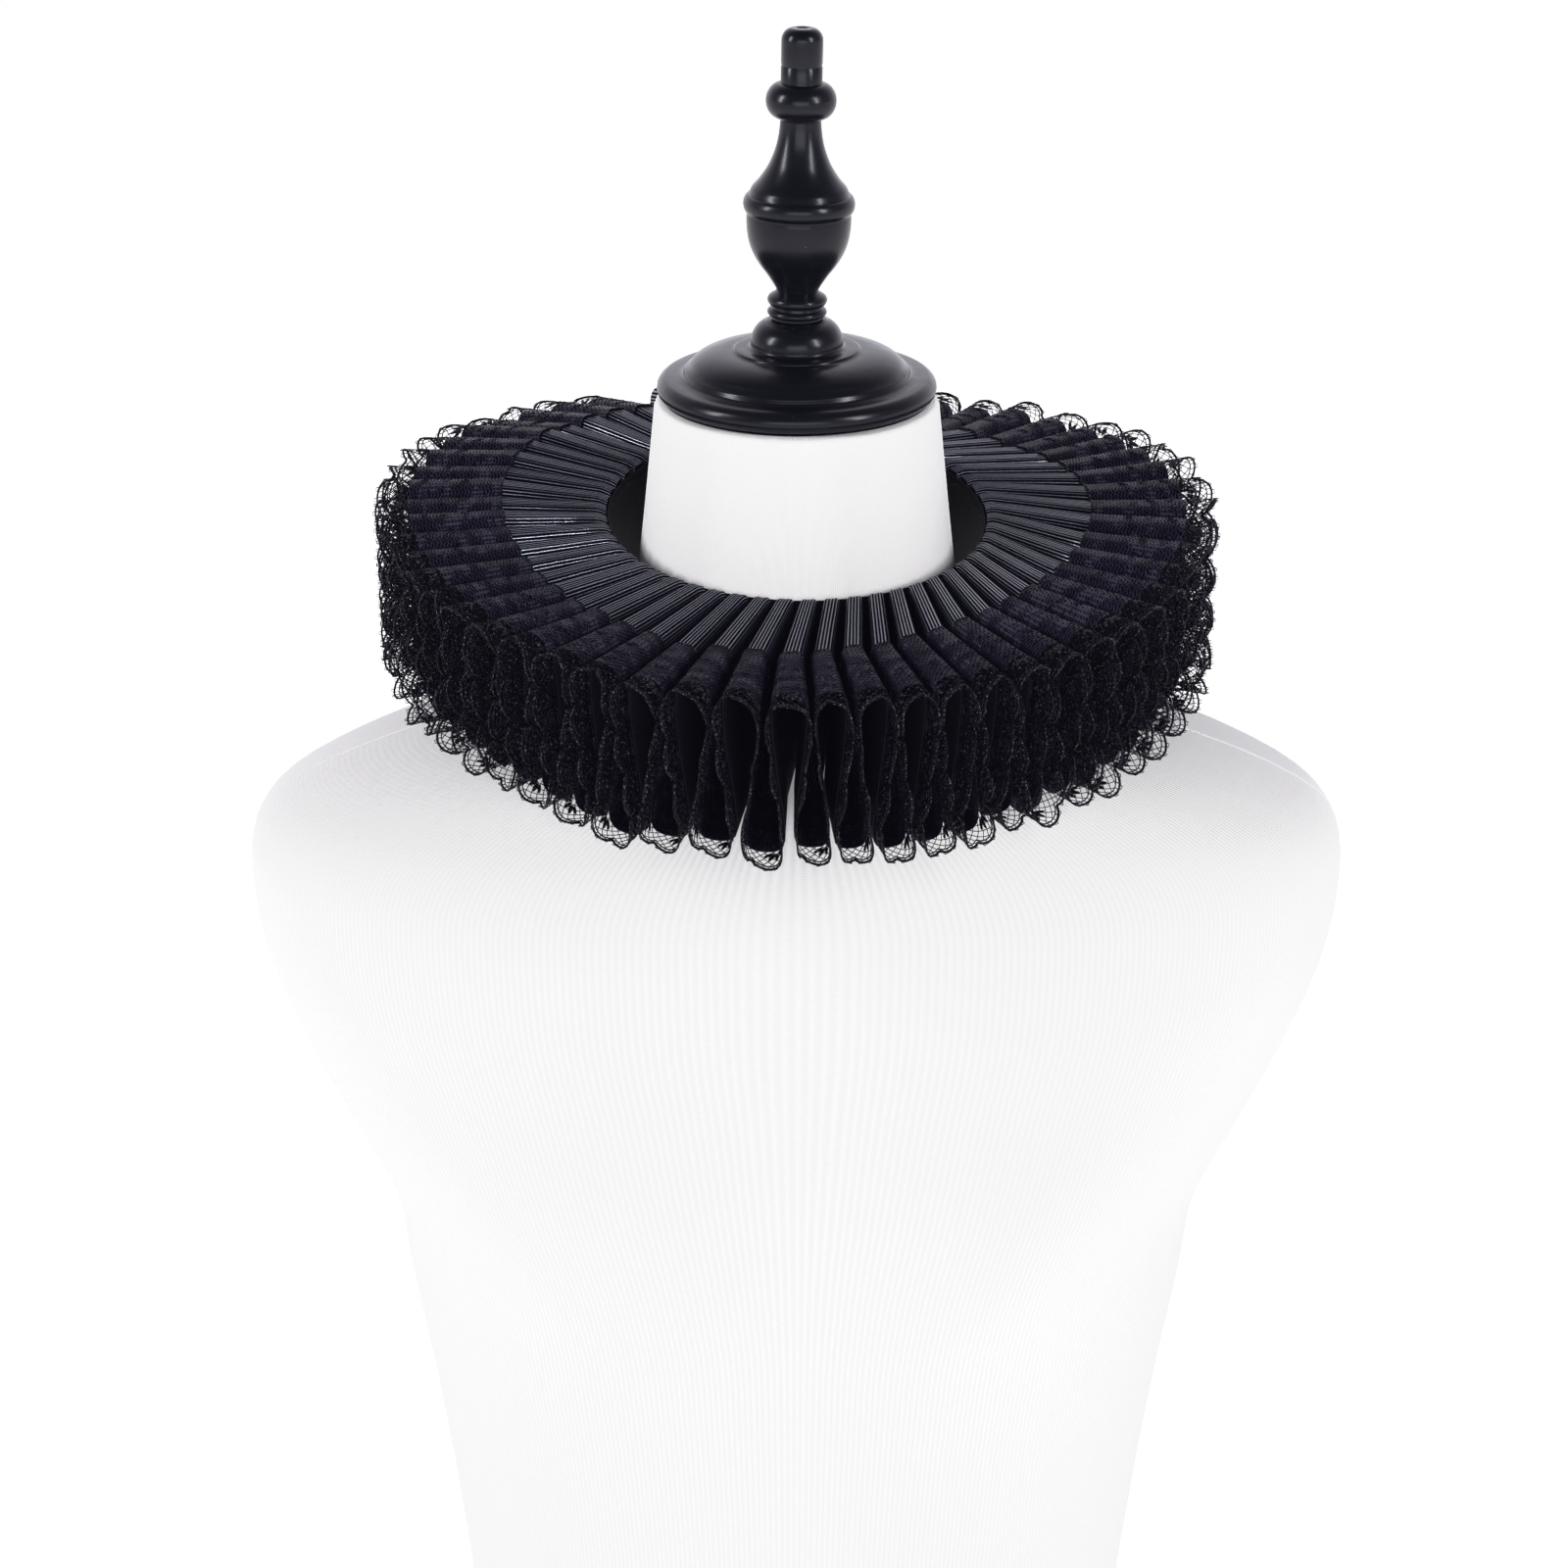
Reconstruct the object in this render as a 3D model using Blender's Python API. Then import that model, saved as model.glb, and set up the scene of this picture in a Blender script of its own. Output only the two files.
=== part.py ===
"""A pleated ruff collar on a limbless dress form.

Metres, +Z up, the front towards -Y. The origin is the middle of the model's
box, on the flat underside of the form. Angles round the neck are in degrees,
counted from the front towards +X.
"""
import math
import random

import bpy
import numpy as np
from mathutils import Matrix

# Whole object
FORM_HEIGHT = 0.7054        # underside of the form to the top of its neck
NECK_AXIS_Y = -0.0104       # centres the whole on the origin
SEAM_GAP = 0.0003           # between pieces that touch
LACE_GAP = 0.0004           # between the ribbon and the lace on it
CLOTH = 0.001               # thickness of every cloth wall

# Ruff: the rings that its fold tops lie on
RING_CENTRE_Y = 0.0090      # behind the neck's axis
RING_DROP = 0.0449          # below the top of the neck
RING_TILT = math.radians(7.57)
RING_ROLL = math.radians(1.3)
INNER_RADIUS = 0.0701       # where the pleats are sewn to the band
LACE_START = 0.1079         # inner edge of the lace
RIBBON_EDGE = 0.1415        # outer edge of the ribbon
LACE_EDGE = 0.1540          # outer edge of the lace

# Ruff: the pleats
PLEATS = 54
POINTS_PER_PLEAT = 12       # 12 divides into the quarter and half turns below
CLOSURE_ANGLE = -155.0      # where the two ends of the collar meet
CLOSURE_OPENING = 3.6       # degrees that the closure leaves free at the band
FIRST_TURN = 0.25           # the ribbon starts and ends half way up a pleat
LACE_LAST_TURN = PLEATS - 0.5   # the last fold is plain ribbon
END_LIFT = 0.004            # the last, plain fold stands this much higher
UNEVEN_ANGLE = 0.020        # share of a pleat's width
UNEVEN_HEIGHT = 0.0010
UNEVEN_DEPTH = 0.0022
UNEVEN_SEED = 11
MITRE_LIMIT = 0.6           # keeps the wall's corners from growing long where it turns sharply

# radius, overhang of the loops, flatness of their tops, height of the pleats
FOLD_SECTIONS = (
    (INNER_RADIUS, 0.120, 0.39, 0.0465),
    (LACE_START, 0.154, 0.42, 0.054),
    (LACE_EDGE, 0.210, 0.20, 0.058),
)
# angle at the band, how far the fold has swung round by the lace's start
FOLD_SWEEP = (
    (-155, 1.0), (-120, 4.0), (-84, 4.6), (-68, 2.0), (-47, -1.4), (-21, -4.5), (6, -4.6),
    (45, -11.8), (75, -17.2), (90, -17.2), (116, -11.5), (130, -9.5), (160, -5.5), (205, 0.5),
)
# height over the inner ring's plane: constant, cos, sin, cos of twice, sin of twice the angle
HEIGHT_AT_LACE_START = (0.0, 0.0035, -0.0004, -0.0058, 0.0029)
HEIGHT_AT_LACE_EDGE = (-0.0016, 0.0118, 0.0016, -0.0079, -0.0005)

# Neck band
BAND_HEIGHT = 0.045
BAND_TOP_DROP = 0.002       # below the inner ring
BAND_FLARE = 0.0045         # wider at its lower edge
BAND_STEPS = 60
BAND_END_GAP = 0.6          # degrees between the band's two ends
TAB_SPAN = 20.0             # degrees that the fastening tab covers
TAB_HEIGHT = 0.038
TAB_STEPS = 6

# Dress form: below the neck's top, half width, depth in front, depth behind, squareness
FORM_SECTIONS = (
    (0.0000, 0.0509, 0.0528, 0.0518, 2.0),
    (0.0304, 0.0541, 0.0566, 0.0555, 2.0),
    (0.0544, 0.0568, 0.0589, 0.0580, 2.0),
    (0.0754, 0.0597, 0.0602, 0.0605, 2.0),
    (0.0914, 0.0638, 0.0610, 0.0640, 2.0),
    (0.1004, 0.0695, 0.0618, 0.0670, 2.0),
    (0.1074, 0.0840, 0.0632, 0.0705, 2.0),
    (0.1169, 0.1120, 0.0690, 0.0765, 2.1),
    (0.1284, 0.1460, 0.0770, 0.0820, 2.2),
    (0.1414, 0.1770, 0.0830, 0.0860, 2.3),
    (0.1554, 0.1990, 0.0890, 0.0895, 2.4),
    (0.1754, 0.2060, 0.0960, 0.0935, 2.5),
    (0.2054, 0.2025, 0.1040, 0.0975, 2.5),
    (0.2404, 0.1905, 0.1110, 0.0995, 2.4),
    (0.2754, 0.1745, 0.1150, 0.0990, 2.3),
    (0.3104, 0.1590, 0.1150, 0.0960, 2.2),
    (0.3504, 0.1540, 0.1090, 0.0920, 2.1),
    (0.4054, 0.1460, 0.0990, 0.0860, 2.1),
    (0.4604, 0.1395, 0.0920, 0.0820, 2.1),
    (0.5204, 0.1345, 0.0880, 0.0820, 2.1),
    (0.5754, 0.1400, 0.0920, 0.0900, 2.1),
    (0.6404, 0.1620, 0.0990, 0.1080, 2.2),
    (0.7054, 0.1750, 0.1030, 0.1160, 2.2),
)
FORM_SIDES = 32
BUST_FULLNESS = 0.014
BUST_CENTRE_X = 0.080
BUST_DROP = 0.2954
BUST_SPREAD = 0.052

# Neck cap and finial, heights above the top of the neck
CAP_SIDES = 32
FINIAL_SIDES = 18
JOINT_HEIGHT = 0.0292       # the cap ends and the finial begins
FINIAL_LEAN = math.radians(1.0)
FINIAL_GAP = 0.0005         # at the joint, so that the leaning finial clears the cap


def clear_scene():
    for item in list(bpy.data.objects):
        bpy.data.objects.remove(item, do_unlink=True)


def material(name, colour, roughness, metallic=0.0):
    made = bpy.data.materials.new(name)
    made.use_nodes = True
    shader = made.node_tree.nodes["Principled BSDF"]
    shader.inputs["Base Color"].default_value = (*colour, 1.0)
    shader.inputs["Roughness"].default_value = roughness
    shader.inputs["Metallic"].default_value = metallic
    return made


def solid(name, points, faces, look, smooth_angle=None):
    mesh = bpy.data.meshes.new(name)
    mesh.from_pydata([tuple(map(float, point)) for point in points], [], faces)
    mesh.materials.append(look)
    if smooth_angle is not None:
        mesh.shade_smooth()
        mesh.set_sharp_from_angle(angle=math.radians(smooth_angle))
    item = bpy.data.objects.new(name, mesh)
    bpy.context.collection.objects.link(item)
    return item


def arc(centre_r, centre_z, radius_r, radius_z, start, end, steps):
    """Points of an elliptical arc in a turned profile; 0 degrees points outwards, 90 up."""
    turns = [math.radians(start + (end - start) * step / steps) for step in range(steps + 1)]
    return [(centre_r + radius_r * math.cos(a), centre_z + radius_z * math.sin(a)) for a in turns]


def turned(name, profile, sides, look, foot=0.0, lean=0.0):
    """A solid turned about the neck's axis; its profile of heights over the neck runs up from its foot."""
    points = []
    for radius, height in profile:
        for side in range(sides):
            angle = math.tau * side / sides
            points.append((radius * math.cos(angle), radius * math.sin(angle), height - foot))
    faces = [tuple(reversed(range(sides)))]
    for row in range(len(profile) - 1):
        for side in range(sides):
            after = (side + 1) % sides
            low = row * sides
            faces.append((low + side, low + after, low + sides + after, low + sides + side))
    last = (len(profile) - 1) * sides
    faces.append(tuple(range(last, last + sides)))
    item = solid(name, points, faces, look, smooth_angle=40)
    item.location = (0.0, NECK_AXIS_Y, FORM_HEIGHT + foot)
    item.rotation_euler = (0.0, lean, 0.0)
    return item


def neck_cap():
    """The stepped disc on the neck, with the small dome that the finial stands on."""
    profile = [(0.0480, SEAM_GAP)]
    profile += arc(0.0463, 0.0045, 0.0040, 0.0040, -70, 70, 4)
    profile += [(0.0412, 0.0088), (0.0403, 0.0107)]
    profile += arc(0.0230, 0.0107, 0.0160, 0.0070, 25, 85, 3)
    profile += [(0.0226, 0.0183), (0.0178, 0.0187)]
    profile += arc(0.0095, 0.0208, 0.0070, 0.0080, 0, 75, 3)
    profile += [(0.0100, JOINT_HEIGHT)]
    return turned("neck_cap", profile, CAP_SIDES, LOOKS["black_gloss"])


def finial():
    """The turned finial: two small rings, a cup, a bead, a slender vase, a ring and a peg."""
    profile = [(0.0100, JOINT_HEIGHT + FINIAL_GAP)]
    profile += arc(0.0082, 0.0318, 0.0025, 0.0017, -50, 50, 2)
    profile += arc(0.0082, 0.0362, 0.0025, 0.0022, -60, 60, 3)
    profile += [(0.0073, 0.0398), (0.0108, 0.0451), (0.0156, 0.0521), (0.0181, 0.0586), (0.0186, 0.0662)]
    profile += arc(0.0176, 0.0706, 0.0022, 0.0034, -60, 60, 3)
    profile += [(0.0168, 0.0764), (0.0128, 0.0814), (0.0098, 0.0871), (0.0080, 0.0931), (0.0072, 0.0996)]
    profile += arc(0.0072, 0.1068, 0.0052, 0.0062, -70, 70, 5)
    profile += [(0.0073, 0.1136), (0.0073, 0.1182), (0.0070, 0.1190), (0.0073, 0.1198)]
    profile += arc(0.0035, 0.1279, 0.0038, 0.0038, 0, 75, 3)
    return turned("finial", profile, FINIAL_SIDES, LOOKS["black_gloss"], JOINT_HEIGHT, FINIAL_LEAN)


def form_point(section, angle):
    """A point of the form's outline at one level, with the gentle fullness of the bust."""
    drop, half_width, front, behind, squareness = section
    sine, cosine = math.sin(angle), math.cos(angle)
    power = 2.0 / squareness
    x = half_width * math.copysign(abs(sine) ** power, sine)
    depth = front if cosine > 0 else behind
    y = -depth * math.copysign(abs(cosine) ** power, cosine)
    if cosine > 0:
        for side in (-1, 1):
            away = ((x - side * BUST_CENTRE_X) ** 2 + (drop - BUST_DROP) ** 2) / BUST_SPREAD ** 2
            y -= BUST_FULLNESS * math.exp(-away) * cosine ** power
    return x, y, FORM_HEIGHT - drop


def dress_form():
    points = []
    for section in reversed(FORM_SECTIONS):
        points += [form_point(section, math.tau * side / FORM_SIDES) for side in range(FORM_SIDES)]
    faces = [tuple(reversed(range(FORM_SIDES)))]
    for row in range(len(FORM_SECTIONS) - 1):
        for side in range(FORM_SIDES):
            after = (side + 1) % FORM_SIDES
            low = row * FORM_SIDES
            faces.append((low + side, low + after, low + FORM_SIDES + after, low + FORM_SIDES + side))
    last = (len(FORM_SECTIONS) - 1) * FORM_SIDES
    faces.append(tuple(range(last, last + FORM_SIDES)))
    item = solid("dress_form", points, faces, LOOKS["white_knit"], smooth_angle=60)
    item.location = (0.0, NECK_AXIS_Y, 0.0)
    return item


def ring_place():
    """The inner ring's plane: tilted down in front, round a centre behind the neck's axis."""
    centre = (0.0, NECK_AXIS_Y + RING_CENTRE_Y, FORM_HEIGHT - RING_DROP)
    turn = Matrix.Rotation(RING_ROLL, 4, "Y") @ Matrix.Rotation(RING_TILT, 4, "X")
    return np.array(Matrix.Translation(centre) @ turn)


def on_ring(angle, radius, height):
    """World points at an angle in degrees, a radius and a height over the ring's plane."""
    place = ring_place()
    turn = np.radians(angle)
    flat = np.stack([radius * np.sin(turn), -radius * np.cos(turn), height + 0.0 * turn], axis=-1)
    return flat @ place[:3, :3].T + place[:3, 3]


def harmonic(terms, angle):
    turn = np.radians(angle)
    waves = (1.0 + 0.0 * turn, np.cos(turn), np.sin(turn), np.cos(2 * turn), np.sin(2 * turn))
    return sum(term * wave for term, wave in zip(terms, waves))


def fold_height(angle, radius):
    """Height of the fold tops: level at the band, then through the two measured rings."""
    near = harmonic(HEIGHT_AT_LACE_START, angle)
    far = harmonic(HEIGHT_AT_LACE_EDGE, angle)
    out = radius - INNER_RADIUS
    start = LACE_START - INNER_RADIUS
    edge = LACE_EDGE - INNER_RADIUS
    return out * ((out - edge) * near / (start * (start - edge)) + (out - start) * far / (edge * (edge - start)))


def unevenness(turns):
    """Small seeded differences between the pleats: level at each fold, and eased from fold to fold."""
    draw = random.Random(UNEVEN_SEED)
    folds = np.arange(2 * PLEATS + 3)
    whole = np.floor(2 * turns)
    part_way = 2 * turns - whole
    eased = whole + part_way * part_way * (3 - 2 * part_way)
    return [np.interp(eased, folds, [draw.uniform(-1.0, 1.0) for _ in folds]) for _ in range(3)]


def ruff_points(turns, radius):
    """Points of the folded ribbon's middle at one radius; turns counts the pleats."""
    radii, overhangs, flatnesses, depths = zip(*FOLD_SECTIONS)
    overhang = np.interp(radius, radii, overhangs)
    flatness = np.interp(radius, radii, flatnesses)
    depth = np.interp(radius, radii, depths)
    reach = min(1.0, (radius - INNER_RADIUS) / (LACE_START - INNER_RADIUS))
    swing = math.sin(reach * math.pi / 2)
    pitch = (360.0 - CLOSURE_OPENING) / PLEATS
    base = CLOSURE_ANGLE + CLOSURE_OPENING / 2 + pitch * (turns - FIRST_TURN)
    at_band, swept = zip(*FOLD_SWEEP)
    sweep = np.interp(base, at_band, swept)
    spread = np.interp(base + pitch / 2, at_band, swept) - np.interp(base - pitch / 2, at_band, swept)
    local_pitch = pitch + swing * spread
    odd_angle, odd_height, odd_depth = unevenness(turns)
    phase = 2 * np.pi * turns
    angle = base + swing * sweep + local_pitch * (overhang * np.sin(2 * phase))
    angle = angle + local_pitch * UNEVEN_ANGLE * odd_angle * reach
    level = (1 + flatness) * np.cos(phase) - flatness * np.cos(phase) ** 3
    share_down = (1 - level) / 2
    last_fold = np.clip((turns - LACE_LAST_TURN) * 2, 0.0, 1.0)
    height = fold_height(angle, radius) + UNEVEN_HEIGHT * odd_height * reach + END_LIFT * last_fold * reach
    drop = share_down * (depth + UNEVEN_DEPTH * odd_depth * reach)
    flared = radius + BAND_FLARE * (drop / BAND_HEIGHT) * (1 - reach)
    points = on_ring(angle, flared, height)
    points[:, 2] -= drop
    return points


def unit(vectors):
    return vectors / np.linalg.norm(vectors, axis=-1, keepdims=True)


def wall_directions(points, rulings):
    """Normals along one row of the folded cloth, longer at its corners so that the wall keeps its width."""
    steps = unit(np.diff(points, axis=0))
    before = np.vstack([steps[:1], steps])
    after = np.vstack([steps, steps[-1:]])
    tangent = unit(before + after)
    half_turn = np.linalg.norm(before + after, axis=-1, keepdims=True) / 2
    return unit(np.cross(rulings, tangent)) / np.maximum(half_turn, MITRE_LIMIT)


def cloth_wall(name, upper, lower, look):
    """A closed wall between two grids of points, rows along the cloth and columns outwards."""
    rows, columns = upper.shape[:2]
    points = np.vstack([upper.reshape(-1, 3), lower.reshape(-1, 3)])
    under = rows * columns
    faces = []

    def quad(a, b, c, d):
        faces.append((a, b, c))
        faces.append((a, c, d))

    for row in range(rows - 1):
        for column in range(columns - 1):
            a = row * columns + column
            b, c, d = a + columns, a + columns + 1, a + 1
            quad(a, d, c, b)
            faces.append((under + a, under + c, under + d))
            faces.append((under + a, under + b, under + c))
        near = row * columns
        far = near + columns - 1
        quad(near, near + columns, under + near + columns, under + near)
        quad(far + columns, far, under + far, under + far + columns)
    last = (rows - 1) * columns
    for column in range(columns - 1):
        quad(column + 1, column, under + column, under + column + 1)
        quad(last + column, last + column + 1, under + last + column + 1, under + last + column)
    return solid(name, points, faces, look, smooth_angle=50)


def ruff_grid(turns):
    """Middle points and wall directions of the folded cloth at the three measured radii."""
    middle = [ruff_points(turns, radius) for radius in (INNER_RADIUS, LACE_START, LACE_EDGE)]
    rulings = [middle[1] - middle[0], middle[2] - middle[0], middle[2] - middle[1]]
    outward = [wall_directions(row, ruling) for row, ruling in zip(middle, rulings)]
    return middle, outward


def ruff_turns(first, last):
    count = round((last - first) * POINTS_PER_PLEAT)
    return first + np.arange(count + 1) / POINTS_PER_PLEAT


def ribbon_ruffle():
    """The grosgrain ribbon: one wall in even figure-eight pleats, all round the neck."""
    middle, outward = ruff_grid(ruff_turns(FIRST_TURN, PLEATS + FIRST_TURN))
    share = (RIBBON_EDGE - LACE_START) / (LACE_EDGE - LACE_START)
    rows = [middle[0], middle[1], middle[1] + share * (middle[2] - middle[1])]
    sides = [outward[0], outward[1], outward[1] + share * (outward[2] - outward[1])]
    rows = np.stack(rows, axis=1)
    sides = np.stack(sides, axis=1)
    return cloth_wall("ribbon_ruffle", rows + sides * CLOTH / 2, rows - sides * CLOTH / 2, LOOKS["black_ribbon"])


def lace_trim():
    """The lace: the ribbon's own points moved out, from the lace's start to beyond the ribbon's edge."""
    middle, outward = ruff_grid(ruff_turns(FIRST_TURN, LACE_LAST_TURN))
    rows = np.stack(middle[1:], axis=1)
    sides = np.stack(outward[1:], axis=1)
    lower = rows + sides * (CLOTH / 2 + LACE_GAP)
    return cloth_wall("lace_trim", lower + sides * CLOTH, lower, LOOKS["black_lace"])


def band_wall(name, start, end, steps, face_radius, top_drop, height, look):
    """An upright strip round the neck, from its outer face's radius inwards, wider below."""
    angles = np.linspace(start, end, steps + 1)
    faces = []
    for radius in (face_radius, face_radius - CLOTH):
        edges = []
        for down in (top_drop, top_drop + height):
            flare = BAND_FLARE * (down - BAND_TOP_DROP) / BAND_HEIGHT
            points = on_ring(angles, radius + flare, 0.0)
            points[:, 2] -= down
            edges.append(points)
        faces.append(np.stack(edges, axis=1))
    outer, inner = faces
    return cloth_wall(name, outer, inner, look)


def neck_band():
    start = CLOSURE_ANGLE + BAND_END_GAP / 2
    end = CLOSURE_ANGLE + 360.0 - BAND_END_GAP / 2
    face = INNER_RADIUS - SEAM_GAP
    return band_wall("neck_band", start, end, BAND_STEPS, face, BAND_TOP_DROP, BAND_HEIGHT, LOOKS["black_satin"])


def band_tab():
    """The plain tab that fastens the band's two ends, inside them."""
    start = CLOSURE_ANGLE - TAB_SPAN / 2
    face = INNER_RADIUS - CLOTH - 2 * SEAM_GAP
    top = BAND_TOP_DROP + (BAND_HEIGHT - TAB_HEIGHT) / 2
    return band_wall("band_tab", start, start + TAB_SPAN, TAB_STEPS, face, top, TAB_HEIGHT, LOOKS["black_satin"])


def build():
    dress_form()
    neck_cap()
    finial()
    neck_band()
    band_tab()
    ribbon_ruffle()
    lace_trim()


clear_scene()
LOOKS = {
    "white_knit": material("white_knit", (0.86, 0.84, 0.84), 0.85),
    "black_gloss": material("black_gloss", (0.012, 0.012, 0.016), 0.22),
    "black_satin": material("black_satin", (0.010, 0.010, 0.013), 0.40),
    "black_ribbon": material("black_ribbon", (0.016, 0.017, 0.022), 0.50),
    "black_lace": material("black_lace", (0.010, 0.010, 0.018), 0.75),
}
build()
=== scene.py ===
"""Photo-matched scene of the ruff collar on its dress form.

Metres, +Z up, the front towards -Y. Angles round the neck are in degrees,
counted from the front towards +X. Each fine piece repeats its frame node's
own rule with more points; the pleats stand where the frame's do, with loops
up to two millimetres fuller and thinner walls.
"""

import math
import random
from functools import partialmethod

import bmesh
import bpy
import numpy as np
from mathutils import Matrix, Vector


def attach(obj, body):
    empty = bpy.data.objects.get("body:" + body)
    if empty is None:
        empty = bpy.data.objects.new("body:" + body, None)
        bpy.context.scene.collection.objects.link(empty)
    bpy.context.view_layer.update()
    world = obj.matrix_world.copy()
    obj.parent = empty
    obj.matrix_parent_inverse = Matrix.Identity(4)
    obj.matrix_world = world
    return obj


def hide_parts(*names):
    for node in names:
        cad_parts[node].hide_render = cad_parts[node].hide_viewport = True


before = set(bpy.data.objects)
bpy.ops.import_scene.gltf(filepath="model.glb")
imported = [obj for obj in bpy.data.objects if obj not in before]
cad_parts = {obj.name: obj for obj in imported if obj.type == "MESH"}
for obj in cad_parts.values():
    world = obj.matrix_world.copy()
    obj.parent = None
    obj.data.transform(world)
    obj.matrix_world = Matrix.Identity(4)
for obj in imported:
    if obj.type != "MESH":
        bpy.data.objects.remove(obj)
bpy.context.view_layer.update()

# Whole object, as in the frame
FORM_HEIGHT = 0.7054  # underside of the form to the top of its neck
NECK_AXIS_Y = -0.0104  # centres the whole on the origin
SEAM_GAP = 0.0003  # between pieces that touch

# Ruff: the rings that its fold tops lie on
RING_CENTRE_Y = 0.0090  # behind the neck's axis
RING_DROP = 0.0449  # below the top of the neck
RING_TILT = math.radians(7.57)
RING_ROLL = math.radians(1.3)
INNER_RADIUS = 0.0701  # where the pleats are sewn to the band
LACE_START = 0.1079  # inner edge of the lace
RIBBON_EDGE = 0.1415  # outer edge of the ribbon
LACE_EDGE = 0.1540  # outer edge of the lace

# Ruff: the pleats
PLEATS = 54
CLOSURE_ANGLE = -155.0  # where the two ends of the collar meet
CLOSURE_OPENING = 3.6  # degrees that the closure leaves free at the band
FIRST_TURN = 0.25  # the ribbon starts and ends half way up a pleat
LACE_LAST_TURN = PLEATS - 0.5  # the last fold is plain ribbon
END_LIFT = 0.004  # the last, plain fold stands this much higher
UNEVEN_ANGLE = 0.020  # share of a pleat's width
UNEVEN_HEIGHT = 0.0010
UNEVEN_DEPTH = 0.0022
UNEVEN_LOOP = 0.10  # share of the overhang
UNEVEN_SEED = 11
END_ROUND = 0.0045  # length over which a fold's top rounds down at the band
END_ROUND_DROP = 0.0013
# radius, overhang of the upper and the lower loops, flatness of their tops, height of the pleats
FOLD_SECTIONS = (
    (INNER_RADIUS, 0.200, 0.290, 0.60, 0.0465),
    (LACE_START, 0.160, 0.315, 0.58, 0.054),
    (LACE_EDGE, 0.245, 0.300, 0.34, 0.058),
)
# angle at the band, how far the fold has swung round by the lace's start
FOLD_SWEEP = (
    (-155, 1.0), (-120, 4.0), (-84, 4.6), (-68, 2.0), (-47, -1.4), (-21, -4.5), (6, -4.6),
    (45, -11.8), (75, -17.2), (90, -17.2), (116, -11.5), (130, -9.5), (160, -5.5), (205, 0.5),
)
# height over the inner ring's plane: constant, cos, sin, cos of twice, sin of twice the angle
HEIGHT_AT_LACE_START = (0.0, 0.0035, -0.0004, -0.0058, 0.0029)
HEIGHT_AT_LACE_EDGE = (-0.0016, 0.0118, 0.0016, -0.0079, -0.0005)

# Neck band
BAND_HEIGHT = 0.045
BAND_TOP_DROP = 0.002  # below the inner ring
BAND_FLARE = 0.0045  # wider at its lower edge
BAND_THICKNESS = 0.001
BAND_END_GAP = 0.6  # degrees between the band's two ends
TAB_SPAN = 20.0  # degrees that the fastening tab covers
TAB_HEIGHT = 0.038
BAND_STITCH_DROPS = (0.0050, 0.0440)
TAB_STITCH_INSET = 0.0030  # from the tab's upper and lower edge
STITCH_PITCH = 2.6  # degrees
STITCH_LENGTH = 1.7  # degrees
STITCH_LIFT = 0.00022  # how high a stitch stands on the cloth
STITCH_HALF = 0.00018  # half its width
STITCH_SUNK = 0.0001  # its ends start this deep in the cloth

# Dress form: below the neck's top, half width, depth in front, depth behind, squareness
FORM_SECTIONS = (
    (0.0000, 0.0509, 0.0528, 0.0518, 2.0),
    (0.0304, 0.0541, 0.0566, 0.0555, 2.0),
    (0.0544, 0.0568, 0.0589, 0.0580, 2.0),
    (0.0754, 0.0597, 0.0602, 0.0605, 2.0),
    (0.0914, 0.0638, 0.0610, 0.0640, 2.0),
    (0.1004, 0.0695, 0.0618, 0.0670, 2.0),
    (0.1074, 0.0840, 0.0632, 0.0705, 2.0),
    (0.1169, 0.1120, 0.0690, 0.0765, 2.1),
    (0.1284, 0.1460, 0.0770, 0.0820, 2.2),
    (0.1414, 0.1770, 0.0830, 0.0860, 2.3),
    (0.1554, 0.1990, 0.0890, 0.0895, 2.4),
    (0.1754, 0.2060, 0.0960, 0.0935, 2.5),
    (0.2054, 0.2025, 0.1040, 0.0975, 2.5),
    (0.2404, 0.1905, 0.1110, 0.0995, 2.4),
    (0.2754, 0.1745, 0.1150, 0.0990, 2.3),
    (0.3104, 0.1590, 0.1150, 0.0960, 2.2),
    (0.3504, 0.1540, 0.1090, 0.0920, 2.1),
    (0.4054, 0.1460, 0.0990, 0.0860, 2.1),
    (0.4604, 0.1395, 0.0920, 0.0820, 2.1),
    (0.5204, 0.1345, 0.0880, 0.0820, 2.1),
    (0.5754, 0.1400, 0.0920, 0.0900, 2.1),
    (0.6404, 0.1620, 0.0990, 0.1080, 2.2),
    (0.7054, 0.1750, 0.1030, 0.1160, 2.2),
)
BUST_FULLNESS = 0.014
BUST_CENTRE_X = 0.080
BUST_DROP = 0.2954
BUST_SPREAD = 0.052
# width and height over the cover of the seam tape's outline
SEAM_PROFILE = (
    (-0.0014, -0.0001), (-0.0009, 0.0003), (-0.0002, 0.0002), (0.0002, 0.0002),
    (0.0009, 0.0003), (0.0014, -0.0001), (0.0, -0.0006),
)
SEAM_WIDTH = 0.003
JOINT_HEIGHT = 0.0292  # where the finial stands on the cap, above the neck's top
FINIAL_LEAN = math.radians(1.0)
FINIAL_GAP = 0.0005

# Fineness
RIBBON_POINTS = 40  # along each pleat
TABLE_POINTS = 96  # along each pleat, for what is laid on the cloth
RIBBON_COLUMNS = (4, 6, 7)  # near the band, to the lace, under the lace
LACE_COLUMNS = 7
FORM_COLUMNS = 112
# drop at which a run of rows starts, and its rows: closer where the neck turns into the shoulder
FORM_ROWS = ((0.0018, 15), (0.0754, 29), (0.1354, 20), (0.2054, 22), (0.4054, 25))
FORM_LAST_ROW = FORM_HEIGHT - 0.002
BAND_STEPS = 240
TAB_STEPS = 24
CAP_SIDES = 128
FINIAL_SIDES = 72

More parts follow.
